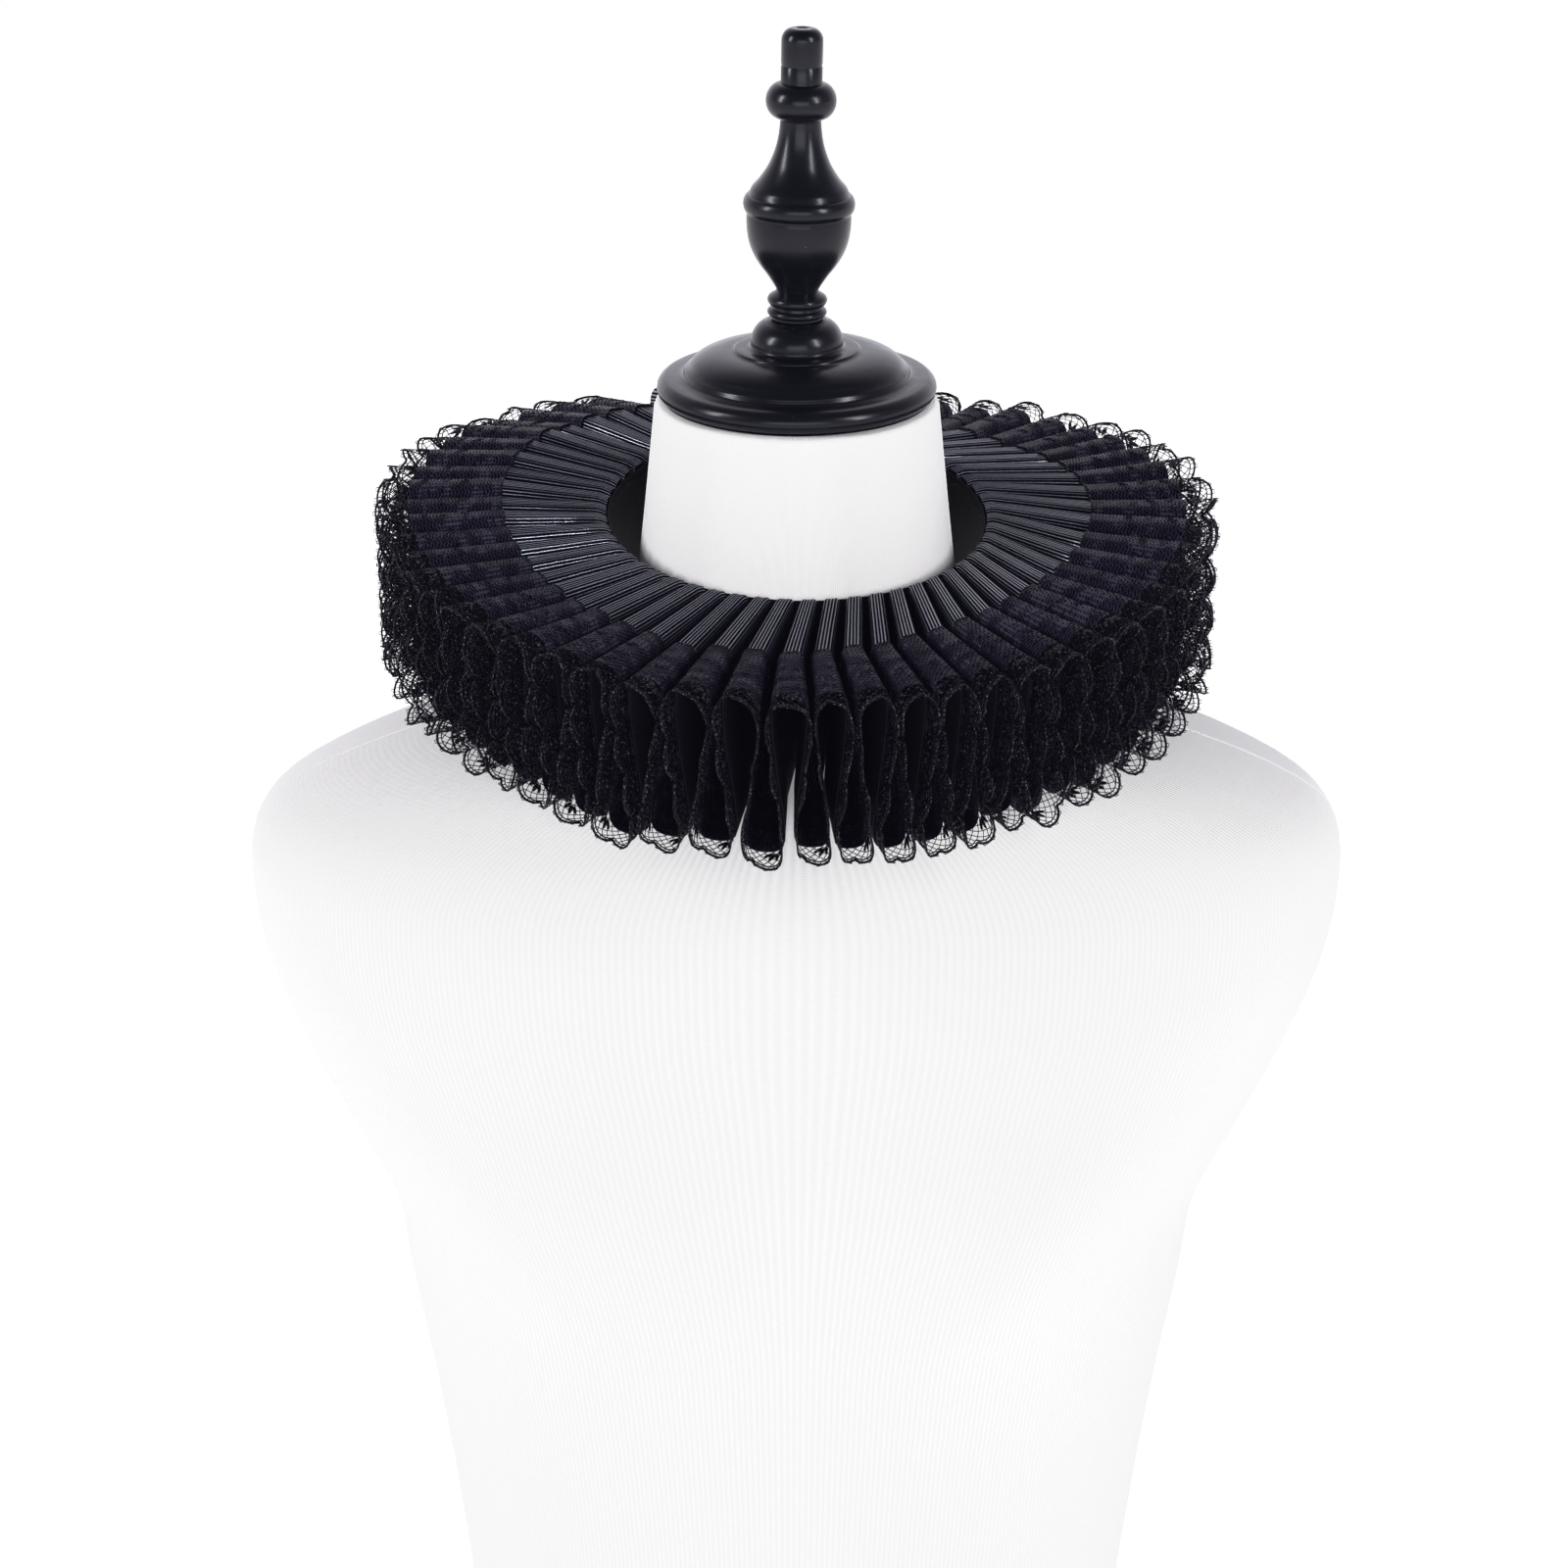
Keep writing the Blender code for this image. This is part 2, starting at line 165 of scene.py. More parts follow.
# Walls of the fine cloth
COVER = 0.0008  # thickness of the form's knitted cover
INSET = 0.0001  # of the cover's outer side from the frame's form
BODY_GAP = 0.0004  # between the cover and the body in it
BODY_FOOT = 0.0014  # height of the body's underside
RIBBON_HALF = 0.0002  # half the ribbon's thickness
NET_LOW = 0.0005  # the lace's lower and upper side, over the ribbon's middle
NET_HIGH = 0.0007
WELD_DISTANCE = 0.00001

# Weaves, in millimetres
RIB_PITCH = 1.20  # the ribbon's
WALE_PITCH = 1.5  # the cover's, round it and down it
COURSE_PITCH = 1.1
NET_PITCH = 1.25  # the lace's
NECK_LIGHT_END = 85.0  # down the cover, where the painted extra light on the neck starts to fade into the torso's white
NECK_LIGHT_FADE = 50.0

# Lace pattern: lengths along the lace, and out from the ribbon's edge
LACE_TILE = 0.0160  # width of one scallop
LACE_PARTS = 4  # pieces of the free edge
LACE_LAP = 0.0008  # the sheet of net ends this far past the ribbon
OUTER_CORD = (0.0082, 0.0040)  # foot and rise of the scalloped cords
INNER_CORD = (0.0066, 0.0038)
CORD_POINTS = 13
TIES = 10  # between the two cords
PICOTS = 5
NET_CELLS = 6  # across a scallop, and rows out from the ribbon
NET_REACH = 0.0108
NET_SHORTEST = 0.0004  # a thread that starts nearer to the inner cord is left out
LEAF_FAN = ((-52, 0.0036), (-27, 0.0042), (0, 0.0046), (27, 0.0042), (52, 0.0036))  # angle, length
RELIEF_ROWS = ((-0.0060, 0.0052), (-0.0135, 0.0046), (-0.0210, 0.0040))  # foot and rise of the arches
RELIEF_INSETS = (0.0, 0.0015)  # of the two cords of an arch
RELIEF_STEPS = 8
RELIEF_LEAVES = (-38, 0, 38)  # angles
HEADER_WAVE = 0.0044
FLUTTER = 0.0005  # how far the free edge bends up and down
FLUTTER_LENGTH = 0.0212
# sections of a thread, as shares of its width and height
TRIANGLE = ((-0.5, -0.4), (0.5, -0.4), (0.0, 0.6))
SQUARE = ((-0.5, -0.5), (0.5, -0.5), (0.42, 0.5), (-0.42, 0.5))
# width and height of the threads
OUTER_THREAD = (0.00072, 0.00060)
INNER_THREAD = (0.00045, 0.00045)
TIE_THREAD = (0.00030, 0.00030)
PICOT_THREAD = (0.00028, 0.00028)
NET_THREAD = (0.00030, 0.00026)
RELIEF_THREAD = (0.00036, 0.00040)
HEADER_THREAD = (0.0007, 0.0006)

# Studio
FLOOR_HALF = 40.0
FLOOR_DEPTH = 0.001  # below the form's underside
FLOOR_GLOW = 0.88
# name, place, width and height, power, the point that it shines on
LAMPS = (
    ("key_left", (-1.50, -0.50, 1.40), (0.18, 0.85), 17.0, (0.0, 0.0, 0.74)),
    ("key_right", (1.25, -0.98, 1.40), (0.15, 0.85), 15.0, (0.0, 0.0, 0.74)),
    ("front", (0.0, -2.2, 1.05), (2.0, 0.7), 13.5, (0.0, 0.0, 0.69)),
)
WHITE_LEVEL = 2.0
TONES = ((0.15, 0.31), (0.25, 0.57), (0.34, 0.78), (0.40, 0.86), (0.46, 0.905), (0.52, 0.94), (0.575, 1.0))
DARKEST = (0.0010, 0.0010, 0.0016)  # red, green and blue of the deepest black
CAMERA_PLACE = (-0.0046, -1.1452, 1.0426)
CAMERA_PITCH = 23.3  # degrees below level
CAMERA_LENS = 75.0
CAMERA_REACH = 100.0


# Materials
class Value:
    """A number that shader nodes work out; the usual signs join two of them, or one and a plain number."""

    def __init__(self, tree, socket):
        self.tree = tree
        self.socket = socket

    def joined(self, operation, other=None, swapped=False):
        made = self.tree.nodes.new("ShaderNodeMath")
        made.operation = operation
        for socket, value in zip(made.inputs, (other, self) if swapped else (self, other)):
            if isinstance(value, Value):
                self.tree.links.new(value.socket, socket)
            elif value is not None:
                socket.default_value = value
        return Value(self.tree, made.outputs[0])

    __add__ = partialmethod(joined, "ADD")
    __sub__ = partialmethod(joined, "SUBTRACT")
    __rsub__ = partialmethod(joined, "SUBTRACT", swapped=True)
    __mul__ = partialmethod(joined, "MULTIPLY")
    __pow__ = partialmethod(joined, "POWER")


def material(name, colour, roughness, specular):
    """A material with its plain values, its tree and its shader; nodes then take over some of the values."""
    made = bpy.data.materials.new(name)
    made.use_nodes = True
    shader = made.node_tree.nodes["Principled BSDF"]
    shader.inputs["Base Color"].default_value = (*colour, 1.0)
    shader.inputs["Roughness"].default_value = roughness
    shader.inputs["Specular IOR Level"].default_value = specular
    return made, made.node_tree, shader


def flat_position(tree):
    """The cloth's own flat coordinates, in millimetres: along it and across it."""
    place = tree.nodes.new("ShaderNodeUVMap")
    place.uv_map = "flat"
    parts = tree.nodes.new("ShaderNodeSeparateXYZ")
    tree.links.new(place.outputs[0], parts.inputs[0])
    return [Value(tree, parts.outputs[axis]) * 1000.0 for axis in (0, 1)]


def flat_vector(along, across):
    made = along.tree.nodes.new("ShaderNodeCombineXYZ")
    for value, socket in ((along, made.inputs[0]), (across, made.inputs[1])):
        value.tree.links.new(value.socket, socket)
    return made.outputs[0]


def object_position(tree):
    return tree.nodes.new("ShaderNodeTexCoord").outputs["Object"]


def wave(value, pitch):
    """A ridge of height 0 to 1 every pitch."""
    return (value * (math.tau / pitch)).joined("SINE") * 0.5 + 0.5


def noise(tree, vector, scale, detail=2.0):
    made = tree.nodes.new("ShaderNodeTexNoise")
    made.inputs["Scale"].default_value = scale
    made.inputs["Detail"].default_value = detail
    tree.links.new(vector, made.inputs["Vector"])
    return Value(tree, made.outputs["Fac"])


def ramp(value, stops):
    """A colour that runs through the stops, each a value and its colour."""
    made = value.tree.nodes.new("ShaderNodeValToRGB")
    elements = made.color_ramp.elements
    while len(elements) < len(stops):
        elements.new(0.5)
    for element, (place, colour) in zip(elements, stops):
        element.position = place
        element.color = (*colour, 1.0)
    value.tree.links.new(value.socket, made.inputs[0])
    return made.outputs[0]


def mix(share, first, second):
    """The first colour at share 0 and the second at 1; a colour is a socket or three numbers."""
    links = share.tree.links
    made = share.tree.nodes.new("ShaderNodeMix")
    made.data_type = "RGBA"
    made.clamp_factor = True
    links.new(share.socket, made.inputs[0])
    for socket, colour in ((made.inputs[6], first), (made.inputs[7], second)):
        if isinstance(colour, tuple):
            socket.default_value = (*colour, 1.0)
        else:
            links.new(colour, socket)
    return made.outputs[2]


def bump(shader, height, distance):
    made = height.tree.nodes.new("ShaderNodeBump")
    made.inputs["Distance"].default_value = distance
    height.tree.links.new(height.socket, made.inputs["Height"])
    height.tree.links.new(made.outputs[0], shader.inputs["Normal"])


def knit_look():
    """White rib knit: painted light makes the neck a little brighter than the torso, and painted shade
    darkens the grooves between its wales.
    """
    made, tree, shader = material("white_knit_fine", (0.90, 0.885, 0.888), 0.85, 0.2)
    along, across = flat_position(tree)
    wale = wave(along, WALE_PITCH)
    course = wave(across, COURSE_PITCH)
    cloth = noise(tree, flat_vector(along, across), 0.9)
    # Painted shade: the wale grooves are darker than their ridges; the noise adds random tone.
    shade = wale * 0.5 + cloth * 0.5
    torso = ramp(shade, ((0.0, (0.68, 0.666, 0.671)), (1.0, (0.84, 0.826, 0.829))))
    # Painted light: the neck's colour is brighter than the torso's and fades into it down the cover.
    neck = ramp(shade, ((0.0, (0.82, 0.803, 0.807)), (1.0, (0.96, 0.946, 0.948))))
    below = (across - NECK_LIGHT_END) * (1 / NECK_LIGHT_FADE)
    tree.links.new(mix(below, neck, torso), shader.inputs["Base Color"])
    bump(shader, wale + course * 0.25 + cloth * 0.3, 0.00012)
    return made


def gloss_look():
    """Black lacquer with a little wear and specks of dust."""
    ink = (0.0030, 0.0030, 0.0055)
    speck = (0.12, 0.11, 0.10)
    made, tree, shader = material("black_gloss_fine", ink, 0.2, 0.25)
    shader.inputs["Specular Tint"].default_value = (0.90, 0.92, 1.0, 1.0)
    place = object_position(tree)
    worn = noise(tree, place, 55.0, 3.0)
    tree.links.new((worn * 0.10 + 0.20).socket, shader.inputs["Roughness"])
    dust = noise(tree, place, 900.0, 1.0)
    tree.links.new(ramp(dust, ((0.0, ink), (0.80, ink), (0.86, speck))), shader.inputs["Base Color"])
    bump(shader, worn, 0.00025)
    return made


def satin_look():
    """Fine black satin."""
    made, tree, shader = material("black_satin_fine", (0.002, 0.002, 0.003), 0.5, 0.05)
    along, across = flat_position(tree)
    bump(shader, wave(along, 0.5) + wave(across, 0.7), 0.00004)
    return made


def ribbon_look():
    """Grosgrain: ribs across the ribbon, with a painted highlight on their rounded tops and painted shade
    that keeps the grooves black.
    """
    made, tree, shader = material("black_ribbon_fine", (0.004, 0.004, 0.006), 0.30, 0.20)
    shader.inputs["Specular Tint"].default_value = (0.80, 0.83, 1.0, 1.0)
    along, across = flat_position(tree)
    drift = noise(tree, flat_vector(along, across * 0.15), 0.4)
    rib = wave(along + drift * 0.25, RIB_PITCH)
    yarn = noise(tree, flat_vector(along * 3.0, across), 1.2)
    painted_rib_light = rib * (yarn * 0.5 + 0.75)
    # Painted highlight and shade: a light bluish grey on the rib tops and near black in the grooves.
    colour = ramp(painted_rib_light, ((0.60, (0.0012, 0.0012, 0.0022)), (1.0, (0.042, 0.042, 0.066))))
    tree.links.new(colour, shader.inputs["Base Color"])
    tree.links.new((painted_rib_light ** 6.0 * 3.2).socket, shader.inputs["Specular IOR Level"])
    bump(shader, rib + yarn * 0.2, 0.00016)
    return made


def ribbon_shaded_side_look():
    """The ribbon's other side, which never lies in the light: a shaded copy of the ribbon's look, whose plain
    colour and weak specular are painted shade for the insides of the loops.
    """
    made, tree, shader = material("black_ribbon_shaded_side", (0.0090, 0.0090, 0.0150), 0.7, 0.06)
    along = flat_position(tree)[0]
    bump(shader, wave(along, RIB_PITCH), 0.00012)
    return made


def net_height(along, across):
    """The net: fine wavy lines along the cloth and small cells between them."""
    swing = (along * (math.tau / (2 * NET_PITCH))).joined("SINE") * 0.30
    line = wave(across + swing, NET_PITCH)
    tie = wave(along + across * 0.5, NET_PITCH)
    return (line ** 2.0).joined("MAXIMUM", tie ** 3.0 * 0.8)


def lace_look():
    """Net over the ribbon: its thread crests are painted lighter as a sheen, and painted highlights of the
    ribbon's ribs show in its holes here and there.
    """
    made, tree, shader = material("black_lace_fine", (0.006, 0.005, 0.012), 0.42, 0.2)
    shader.inputs["Specular Tint"].default_value = (0.72, 0.66, 1.0, 1.0)
    along, across = flat_position(tree)
    net = net_height(along, across)
    patch = noise(tree, flat_vector(along, across), 0.16, 3.0)
    shade = net * (patch + 0.35)
    # Painted sheen: the net's crests are lighter than its holes; the patches add random tone.
    thread = ramp(shade, (
        (0.10, (0.0028, 0.0025, 0.0058)), (0.50, (0.0046, 0.0040, 0.0098)), (0.95, (0.018, 0.0155, 0.036))))
    # Painted highlight: light rib lines in the net's holes, where the patches allow.
    rib = wave(along, RIB_PITCH) ** 3.0
    glint = rib * (1.0 - net) * patch.joined("GREATER_THAN", 0.55)
    tree.links.new(mix(glint, thread, (0.075, 0.075, 0.095)), shader.inputs["Base Color"])
    tree.links.new((shade ** 2.0 * 0.38).socket, shader.inputs["Specular IOR Level"])
    bump(shader, net + patch * 0.4, 0.00030)
    return made


def thread_look():
    """Black thread with painted glints along its twist, bright specks in its colour."""
    made, tree, shader = material("black_lace_thread", (0.004, 0.0035, 0.008), 0.5, 0.05)
    twist = noise(tree, object_position(tree), 1900.0, 1.0)
    # Painted glints: where the twist noise is highest, the colour turns a bright grey.
    colour = ramp(twist, (
        (0.0, (0.0010, 0.0009, 0.0020)), (0.61, (0.0024, 0.0020, 0.0048)), (0.71, (0.15, 0.14, 0.19))))
    tree.links.new(colour, shader.inputs["Base Color"])
    bump(shader, twist, 0.0001)
    return made


def board_look():
    """The plain body in the cover."""
    made, tree, shader = material("base_board", (0.70, 0.69, 0.67), 0.8, 0.2)
    bump(shader, noise(tree, object_position(tree), 140.0, 3.0), 0.0003)
    return made


# Meshes
def add_object(name, data):
    item = bpy.data.objects.new(name, data)
    bpy.context.collection.objects.link(item)
    return item


def place_piece(name, points, faces, look, smooth_angle=50, flat=None):
    """A piece riding on the frame's body; flat gives each corner's place on the flat cloth."""
    mesh = bpy.data.meshes.new(name)
    mesh.from_pydata(points, [], [face for block in faces for face in block.tolist()])
    mesh.validate()
    if flat is not None:
        layer = mesh.uv_layers.new(name="flat")
        used = np.empty(len(mesh.loops), dtype=np.int32)
        mesh.loops.foreach_get("vertex_index", used)
        layer.uv.foreach_set("vector", np.asarray(flat, dtype=np.float32)[used].ravel())
    mesh.materials.append(LOOKS[look])
    mesh.shade_smooth()
    if smooth_angle is not None:
        mesh.set_sharp_from_angle(angle=math.radians(smooth_angle))
    item = add_object(name, mesh)
    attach(item, "root")
    return item


def grid_faces(rows, columns, start=0, flip=False, around=False):
    """Quads of a grid of points, rows first; around joins its last column to the first."""
    row = np.arange(rows - 1)[:, None]
    column = np.arange(columns if around else columns - 1)[None, :]
    after = (column + 1) % columns
    a = row * columns + column
    b = row * columns + after
    c = (row + 1) * columns + after
    d = (row + 1) * columns + column
    order = (a, b, c, d) if flip else (a, d, c, b)
    return start + np.stack([np.broadcast_to(x, a.shape) for x in order], axis=-1).reshape(-1, 4)


def rod_faces(rows, columns, flip=False):
    """Faces of a solid rod whose rows are closed rings, with its two ends."""
    start = np.arange(columns)[None, :]
    end = start + (rows - 1) * columns
    ends = [start[:, ::-1], end] if flip else [start, end[:, ::-1]]
    return [grid_faces(rows, columns, flip=flip, around=True)] + ends


def flat_grid(along, across):
    """Flat places of a grid of points, rows along the cloth and columns across it."""
    return np.stack(np.broadcast_arrays(along[:, None], across[None, :]), axis=-1)


def shell(name, upper, lower, flat, look, under_look=None):
    """A closed thin wall between two grids of points, rows along the cloth and columns outwards."""
    rows, columns = upper.shape[:2]
    under = rows * columns
    index = np.arange(under).reshape(rows, columns)
    faces = [grid_faces(rows, columns, flip=True)[:, ::-1], grid_faces(rows, columns, under, flip=True)]
    rim = np.concatenate([index[:, 0], index[-1, 1:], index[-2::-1, -1], index[0, -2:0:-1]])
    after = np.roll(rim, -1)
    faces.append(np.stack([rim, after, under + after, under + rim], axis=1))
    points = np.concatenate([upper.reshape(-1, 3), lower.reshape(-1, 3)])
    both = np.concatenate([flat.reshape(-1, 2)] * 2)
    item = place_piece(name, points, faces, look, 50, both)
    if under_look is not None:
        item.data.materials.append(LOOKS[under_look])
        side = np.zeros(len(item.data.polygons), dtype=np.int32)
        side[len(faces[0]):] = 1
        item.data.polygons.foreach_set("material_index", side)
    return item


def unit(vectors):
    """The vectors at length 1."""
    return vectors / np.maximum(np.linalg.norm(vectors, axis=-1, keepdims=True), 1e-12)


def monotone(x, xs, ys):
    """A smooth curve through the points that doesn't swing past them."""
    xs, ys = np.asarray(xs, float), np.asarray(ys, float)
    step = np.diff(xs)
    slope = np.diff(ys) / step
    tangent = np.concatenate([[slope[0]], (slope[:-1] + slope[1:]) / 2, [slope[-1]]])
    limit = 3 * np.minimum(np.abs(slope[:-1]), np.abs(slope[1:]))
    same_way = slope[:-1] * slope[1:] > 0
    tangent[1:-1] = np.where(same_way, np.clip(tangent[1:-1], -limit, limit), 0.0)
    x = np.clip(x, xs[0], xs[-1])
    i = np.clip(np.searchsorted(xs, x, side="right") - 1, 0, len(step) - 1)
    t = (x - xs[i]) / step[i]
    h = step[i]
    return ((1 + 2 * t) * (1 - t) ** 2 * ys[i] + t * (1 - t) ** 2 * h * tangent[i]
            + t * t * (3 - 2 * t) * ys[i + 1] + t * t * (t - 1) * h * tangent[i + 1])


# Dress form
def form_ring(drop, angles, inset):
    """The form's outline at one level, moved inwards by the inset."""
    columns = list(zip(*FORM_SECTIONS))
    measures = [float(monotone(drop, columns[0], column)) for column in columns[1:]]
    half_width, front, behind, squareness = measures
    sine, cosine = np.sin(angles), np.cos(angles)
    power = 2.0 / squareness
    x = (half_width - inset) * np.sign(sine) * np.abs(sine) ** power
    depth = np.where(cosine > 0, front, behind) - inset
    y = -depth * np.sign(cosine) * np.abs(cosine) ** power
    ahead = np.maximum(cosine, 0.0) ** power
    for side in (-1, 1):
        away = ((x - side * BUST_CENTRE_X) ** 2 + (drop - BUST_DROP) ** 2) / BUST_SPREAD ** 2
        y = y - BUST_FULLNESS * np.exp(-away) * ahead
    return np.stack([x, y + NECK_AXIS_Y, np.full_like(x, FORM_HEIGHT - drop)], axis=-1)


def form_walls():
    """The cover's outer side in rings from the top, its inner side, and the ways out of it."""
    angles = math.tau * np.arange(FORM_COLUMNS) / FORM_COLUMNS
    rings = []
    for inset, drop in ((0.0100, 0.0), (0.0030, 0.0), (0.0014, 0.0001), (0.0006, 0.0005), (0.0002, 0.0010)):
        rings.append(form_ring(drop, angles, inset + INSET))
    starts, counts = zip(*FORM_ROWS)
    runs = zip(starts, starts[1:] + (FORM_LAST_ROW,), counts)
    drops = [np.linspace(start, end, count, endpoint=False) for start, end, count in runs]
    for drop in np.concatenate(drops + [[FORM_LAST_ROW]]):
        rings.append(form_ring(drop, angles, INSET))
    for inset, rise in ((0.0004, 0.0008), (0.0012, 0.0002), (0.0030, 0.0), (0.0200, 0.0)):
        rings.append(form_ring(FORM_HEIGHT - rise, angles, inset + INSET))
    outer = np.stack(rings)
    down = np.gradient(outer, axis=0)
    along = np.roll(outer, -1, axis=1) - np.roll(outer, 1, axis=1)
    normals = unit(np.cross(along, -down))
    outward = (normals * (outer - [0, NECK_AXIS_Y, 0]) * [1, 1, 0]).sum(-1, keepdims=True)
    normals = np.where(outward < 0, -normals, normals)
    normals[:2] = (0, 0, 1)
    normals[-2:] = (0, 0, -1)
    return outer, outer - normals * COVER, normals


def lengths(points):
    """How far each of the points lies along the line through them."""
    return np.concatenate([[0.0], np.cumsum(np.linalg.norm(np.diff(points, axis=0), axis=-1))])


def form_cover(outer, inner):
    """The knitted cover; its first and last column meet behind, so that the flat pattern ends there."""
    order = (np.arange(FORM_COLUMNS + 1) + FORM_COLUMNS // 2) % FORM_COLUMNS
    upper, lower = outer[:, order], inner[:, order]
    rows, columns = upper.shape[:2]
    wrapped = np.concatenate([outer, outer[:, :1]], axis=1)
    girths = np.array([lengths(ring)[-1] for ring in wrapped])
    length = lengths(outer[:, 0])
    share = np.arange(columns) / FORM_COLUMNS
    flat = flat_grid(length, share * girths.mean())[..., ::-1]
    under = rows * columns
    first = np.arange(columns - 1)
    last = (rows - 1) * columns + first
    faces = [
        grid_faces(rows, columns),
        grid_faces(rows, columns, under)[:, ::-1],
        np.stack([first, first + 1, under + first + 1, under + first], axis=1),
        np.stack([last + 1, last, under + last, under + last + 1], axis=1),
    ]
    points = np.concatenate([upper.reshape(-1, 3), lower.reshape(-1, 3)])
    both = np.concatenate([flat.reshape(-1, 2)] * 2)
    cover = place_piece("form_cover_fine", points, faces, "knit", 50, both)
    weld(cover)
    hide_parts("dress_form")


def form_body(inner, normals):
    """The body in the cover, with half as many rows and columns."""
    rows = (inner - normals * BODY_GAP)[2:-2:2, ::2]
    base = rows[-1].copy()
    base[:, 2] = BODY_FOOT
    top = np.array([[0.0, NECK_AXIS_Y, float(rows[0, :, 2].mean())]])
    foot = np.array([[0.0, NECK_AXIS_Y, BODY_FOOT]])
    rows = np.concatenate([rows, base[None]])
    count = rows.shape[1]
    peak = rows.shape[0] * count
    first = np.arange(count)
    after = (first + 1) % count
    last = (rows.shape[0] - 1) * count
    faces = [
        grid_faces(len(rows), count, around=True),
        np.stack([np.full(count, peak), first, after], axis=1),
        np.stack([np.full(count, peak + 1), last + after, last + first], axis=1),
    ]
    points = np.concatenate([rows.reshape(-1, 3), top, foot])
    place_piece("form_body", points, faces, "board", 50)


def weld(item):
    """Joins the points that lie on each other, and keeps each corner's own flat place."""
    work = bmesh.new()
    work.from_mesh(item.data)
    bmesh.ops.remove_doubles(work, verts=work.verts, dist=WELD_DISTANCE)
    work.to_mesh(item.data)
    work.free()


def form_seams(outer):
    """The raised seams over both shoulders and down both sides."""
    rows = slice(5, -3)
    length = lengths(outer[:, 0])[rows]
    count = len(SEAM_PROFILE)
    for name, column in (("form_seam_left", 3 * FORM_COLUMNS // 4), ("form_seam_right", FORM_COLUMNS // 4)):
        line = outer[rows, column]
        across = unit(outer[rows, column + 1] - outer[rows, column - 1])
        along = unit(np.gradient(line, axis=0))
        out = unit(np.cross(along, across))
        if (out[:, 0] * line[:, 0]).sum() < 0:
            out = -out
        rings = np.stack([line + across * a + out * b for a, b in SEAM_PROFILE], axis=1)
        flat = flat_grid(length, np.linspace(0, SEAM_WIDTH, count))[..., ::-1].reshape(-1, 2)
        faces = rod_faces(len(line), count)
        place_piece(name, rings.reshape(-1, 3), faces, "knit", 40, flat)


# Cap and finial
def arc(centre_r, centre_z, radius_r, radius_z, start, end, steps):
    """Profile points round part of an ellipse, from one angle in degrees to another."""
    turns = [math.radians(start + (end - start) * step / steps) for step in range(steps + 1)]
    return [(centre_r + radius_r * math.cos(a), centre_z + radius_z * math.sin(a)) for a in turns]


def bent(points, steps=6):
    """A smooth line through a few profile points."""
    heights = [z for _, z in points]
    radii = [r for r, _ in points]
    fine = np.linspace(heights[0], heights[-1], steps * (len(points) - 1) + 1)
    return list(zip(monotone(fine, heights, radii), fine))


def turned(name, profile, sides, foot=0.0, lean=0.0):
    """A solid turned from a profile of (radius, height), leaning about its foot."""
    profile = np.array(profile)
    angles = math.tau * np.arange(sides) / sides
    points = np.stack(np.broadcast_arrays(
        profile[:, :1] * np.cos(angles), profile[:, :1] * np.sin(angles), profile[:, 1:] - foot), axis=-1)
    turn = np.array(Matrix.Rotation(lean, 3, "Y"))
    points = points.reshape(-1, 3) @ turn.T + [0.0, NECK_AXIS_Y, FORM_HEIGHT + foot]
    faces = rod_faces(len(profile), sides, flip=True)
    return place_piece(name, points, faces, "gloss", 38)


def neck_cap():
    profile = [(0.0480, SEAM_GAP)]
    profile += arc(0.0463, 0.0045, 0.0040, 0.0040, -72, 78, 20)
    profile += bent([(0.0440, 0.0084), (0.0420, 0.0087), (0.0410, 0.0092), (0.0406, 0.0100)], 3)
    profile += arc(0.0395, 0.0104, 0.0009, 0.0009, 0, 74, 4)
    profile += arc(0.0230, 0.0107, 0.0160, 0.0070, 14, 84, 14)
    profile += [(0.0238, 0.0177), (0.0230, 0.0178)]
    profile += arc(0.0219, 0.0180, 0.0007, 0.0007, 0, 90, 4)
    profile += [(0.0190, 0.0188), (0.0176, 0.0188), (0.0168, 0.0191)]
    profile += arc(0.0095, 0.0208, 0.0070, 0.0080, -8, 78, 14)
    profile += [(0.0106, JOINT_HEIGHT - 0.0002), (0.0100, JOINT_HEIGHT)]
    cap = turned("neck_cap_fine", profile, CAP_SIDES)
    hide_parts("neck_cap")


def finial():
    profile = [(0.0094, JOINT_HEIGHT + FINIAL_GAP)]
    profile += arc(0.0082, 0.0318, 0.0025, 0.0017, -60, 62, 8)
    profile += arc(0.0082, 0.0362, 0.0025, 0.0022, -66, 66, 10)
    profile += bent([(0.0073, 0.0395), (0.0080, 0.0408), (0.0108, 0.0451), (0.0138, 0.0491), (0.0160, 0.0528),
                     (0.0174, 0.0563), (0.0183, 0.0606), (0.0186, 0.0662), (0.0184, 0.0670)], 4)
    profile += arc(0.0176, 0.0706, 0.0022, 0.0034, -66, 62, 12)
    profile += [(0.0180, 0.0738)]
    profile += bent([(0.0177, 0.0743), (0.0168, 0.0764), (0.0146, 0.0789), (0.0128, 0.0814),
                     (0.0111, 0.0842), (0.0098, 0.0871), (0.0087, 0.0902), (0.0080, 0.0931),
                     (0.0075, 0.0964), (0.0072, 0.1000)], 4)
    profile += arc(0.0072, 0.1068, 0.0052, 0.0062, -74, 74, 18)
    profile += [(0.0074, 0.1130), (0.0073, 0.1138), (0.0073, 0.1184), (0.0071, 0.1188),
                (0.0071, 0.1192), (0.0073, 0.1196), (0.0073, 0.1264)]
    profile += arc(0.0035, 0.1275, 0.0038, 0.0042, 0, 84, 12)
    profile += [(0.0022, 0.1317), (0.0018, 0.1314)]
    item = turned("finial_fine", profile, FINIAL_SIDES, JOINT_HEIGHT, FINIAL_LEAN)
    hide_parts("finial")


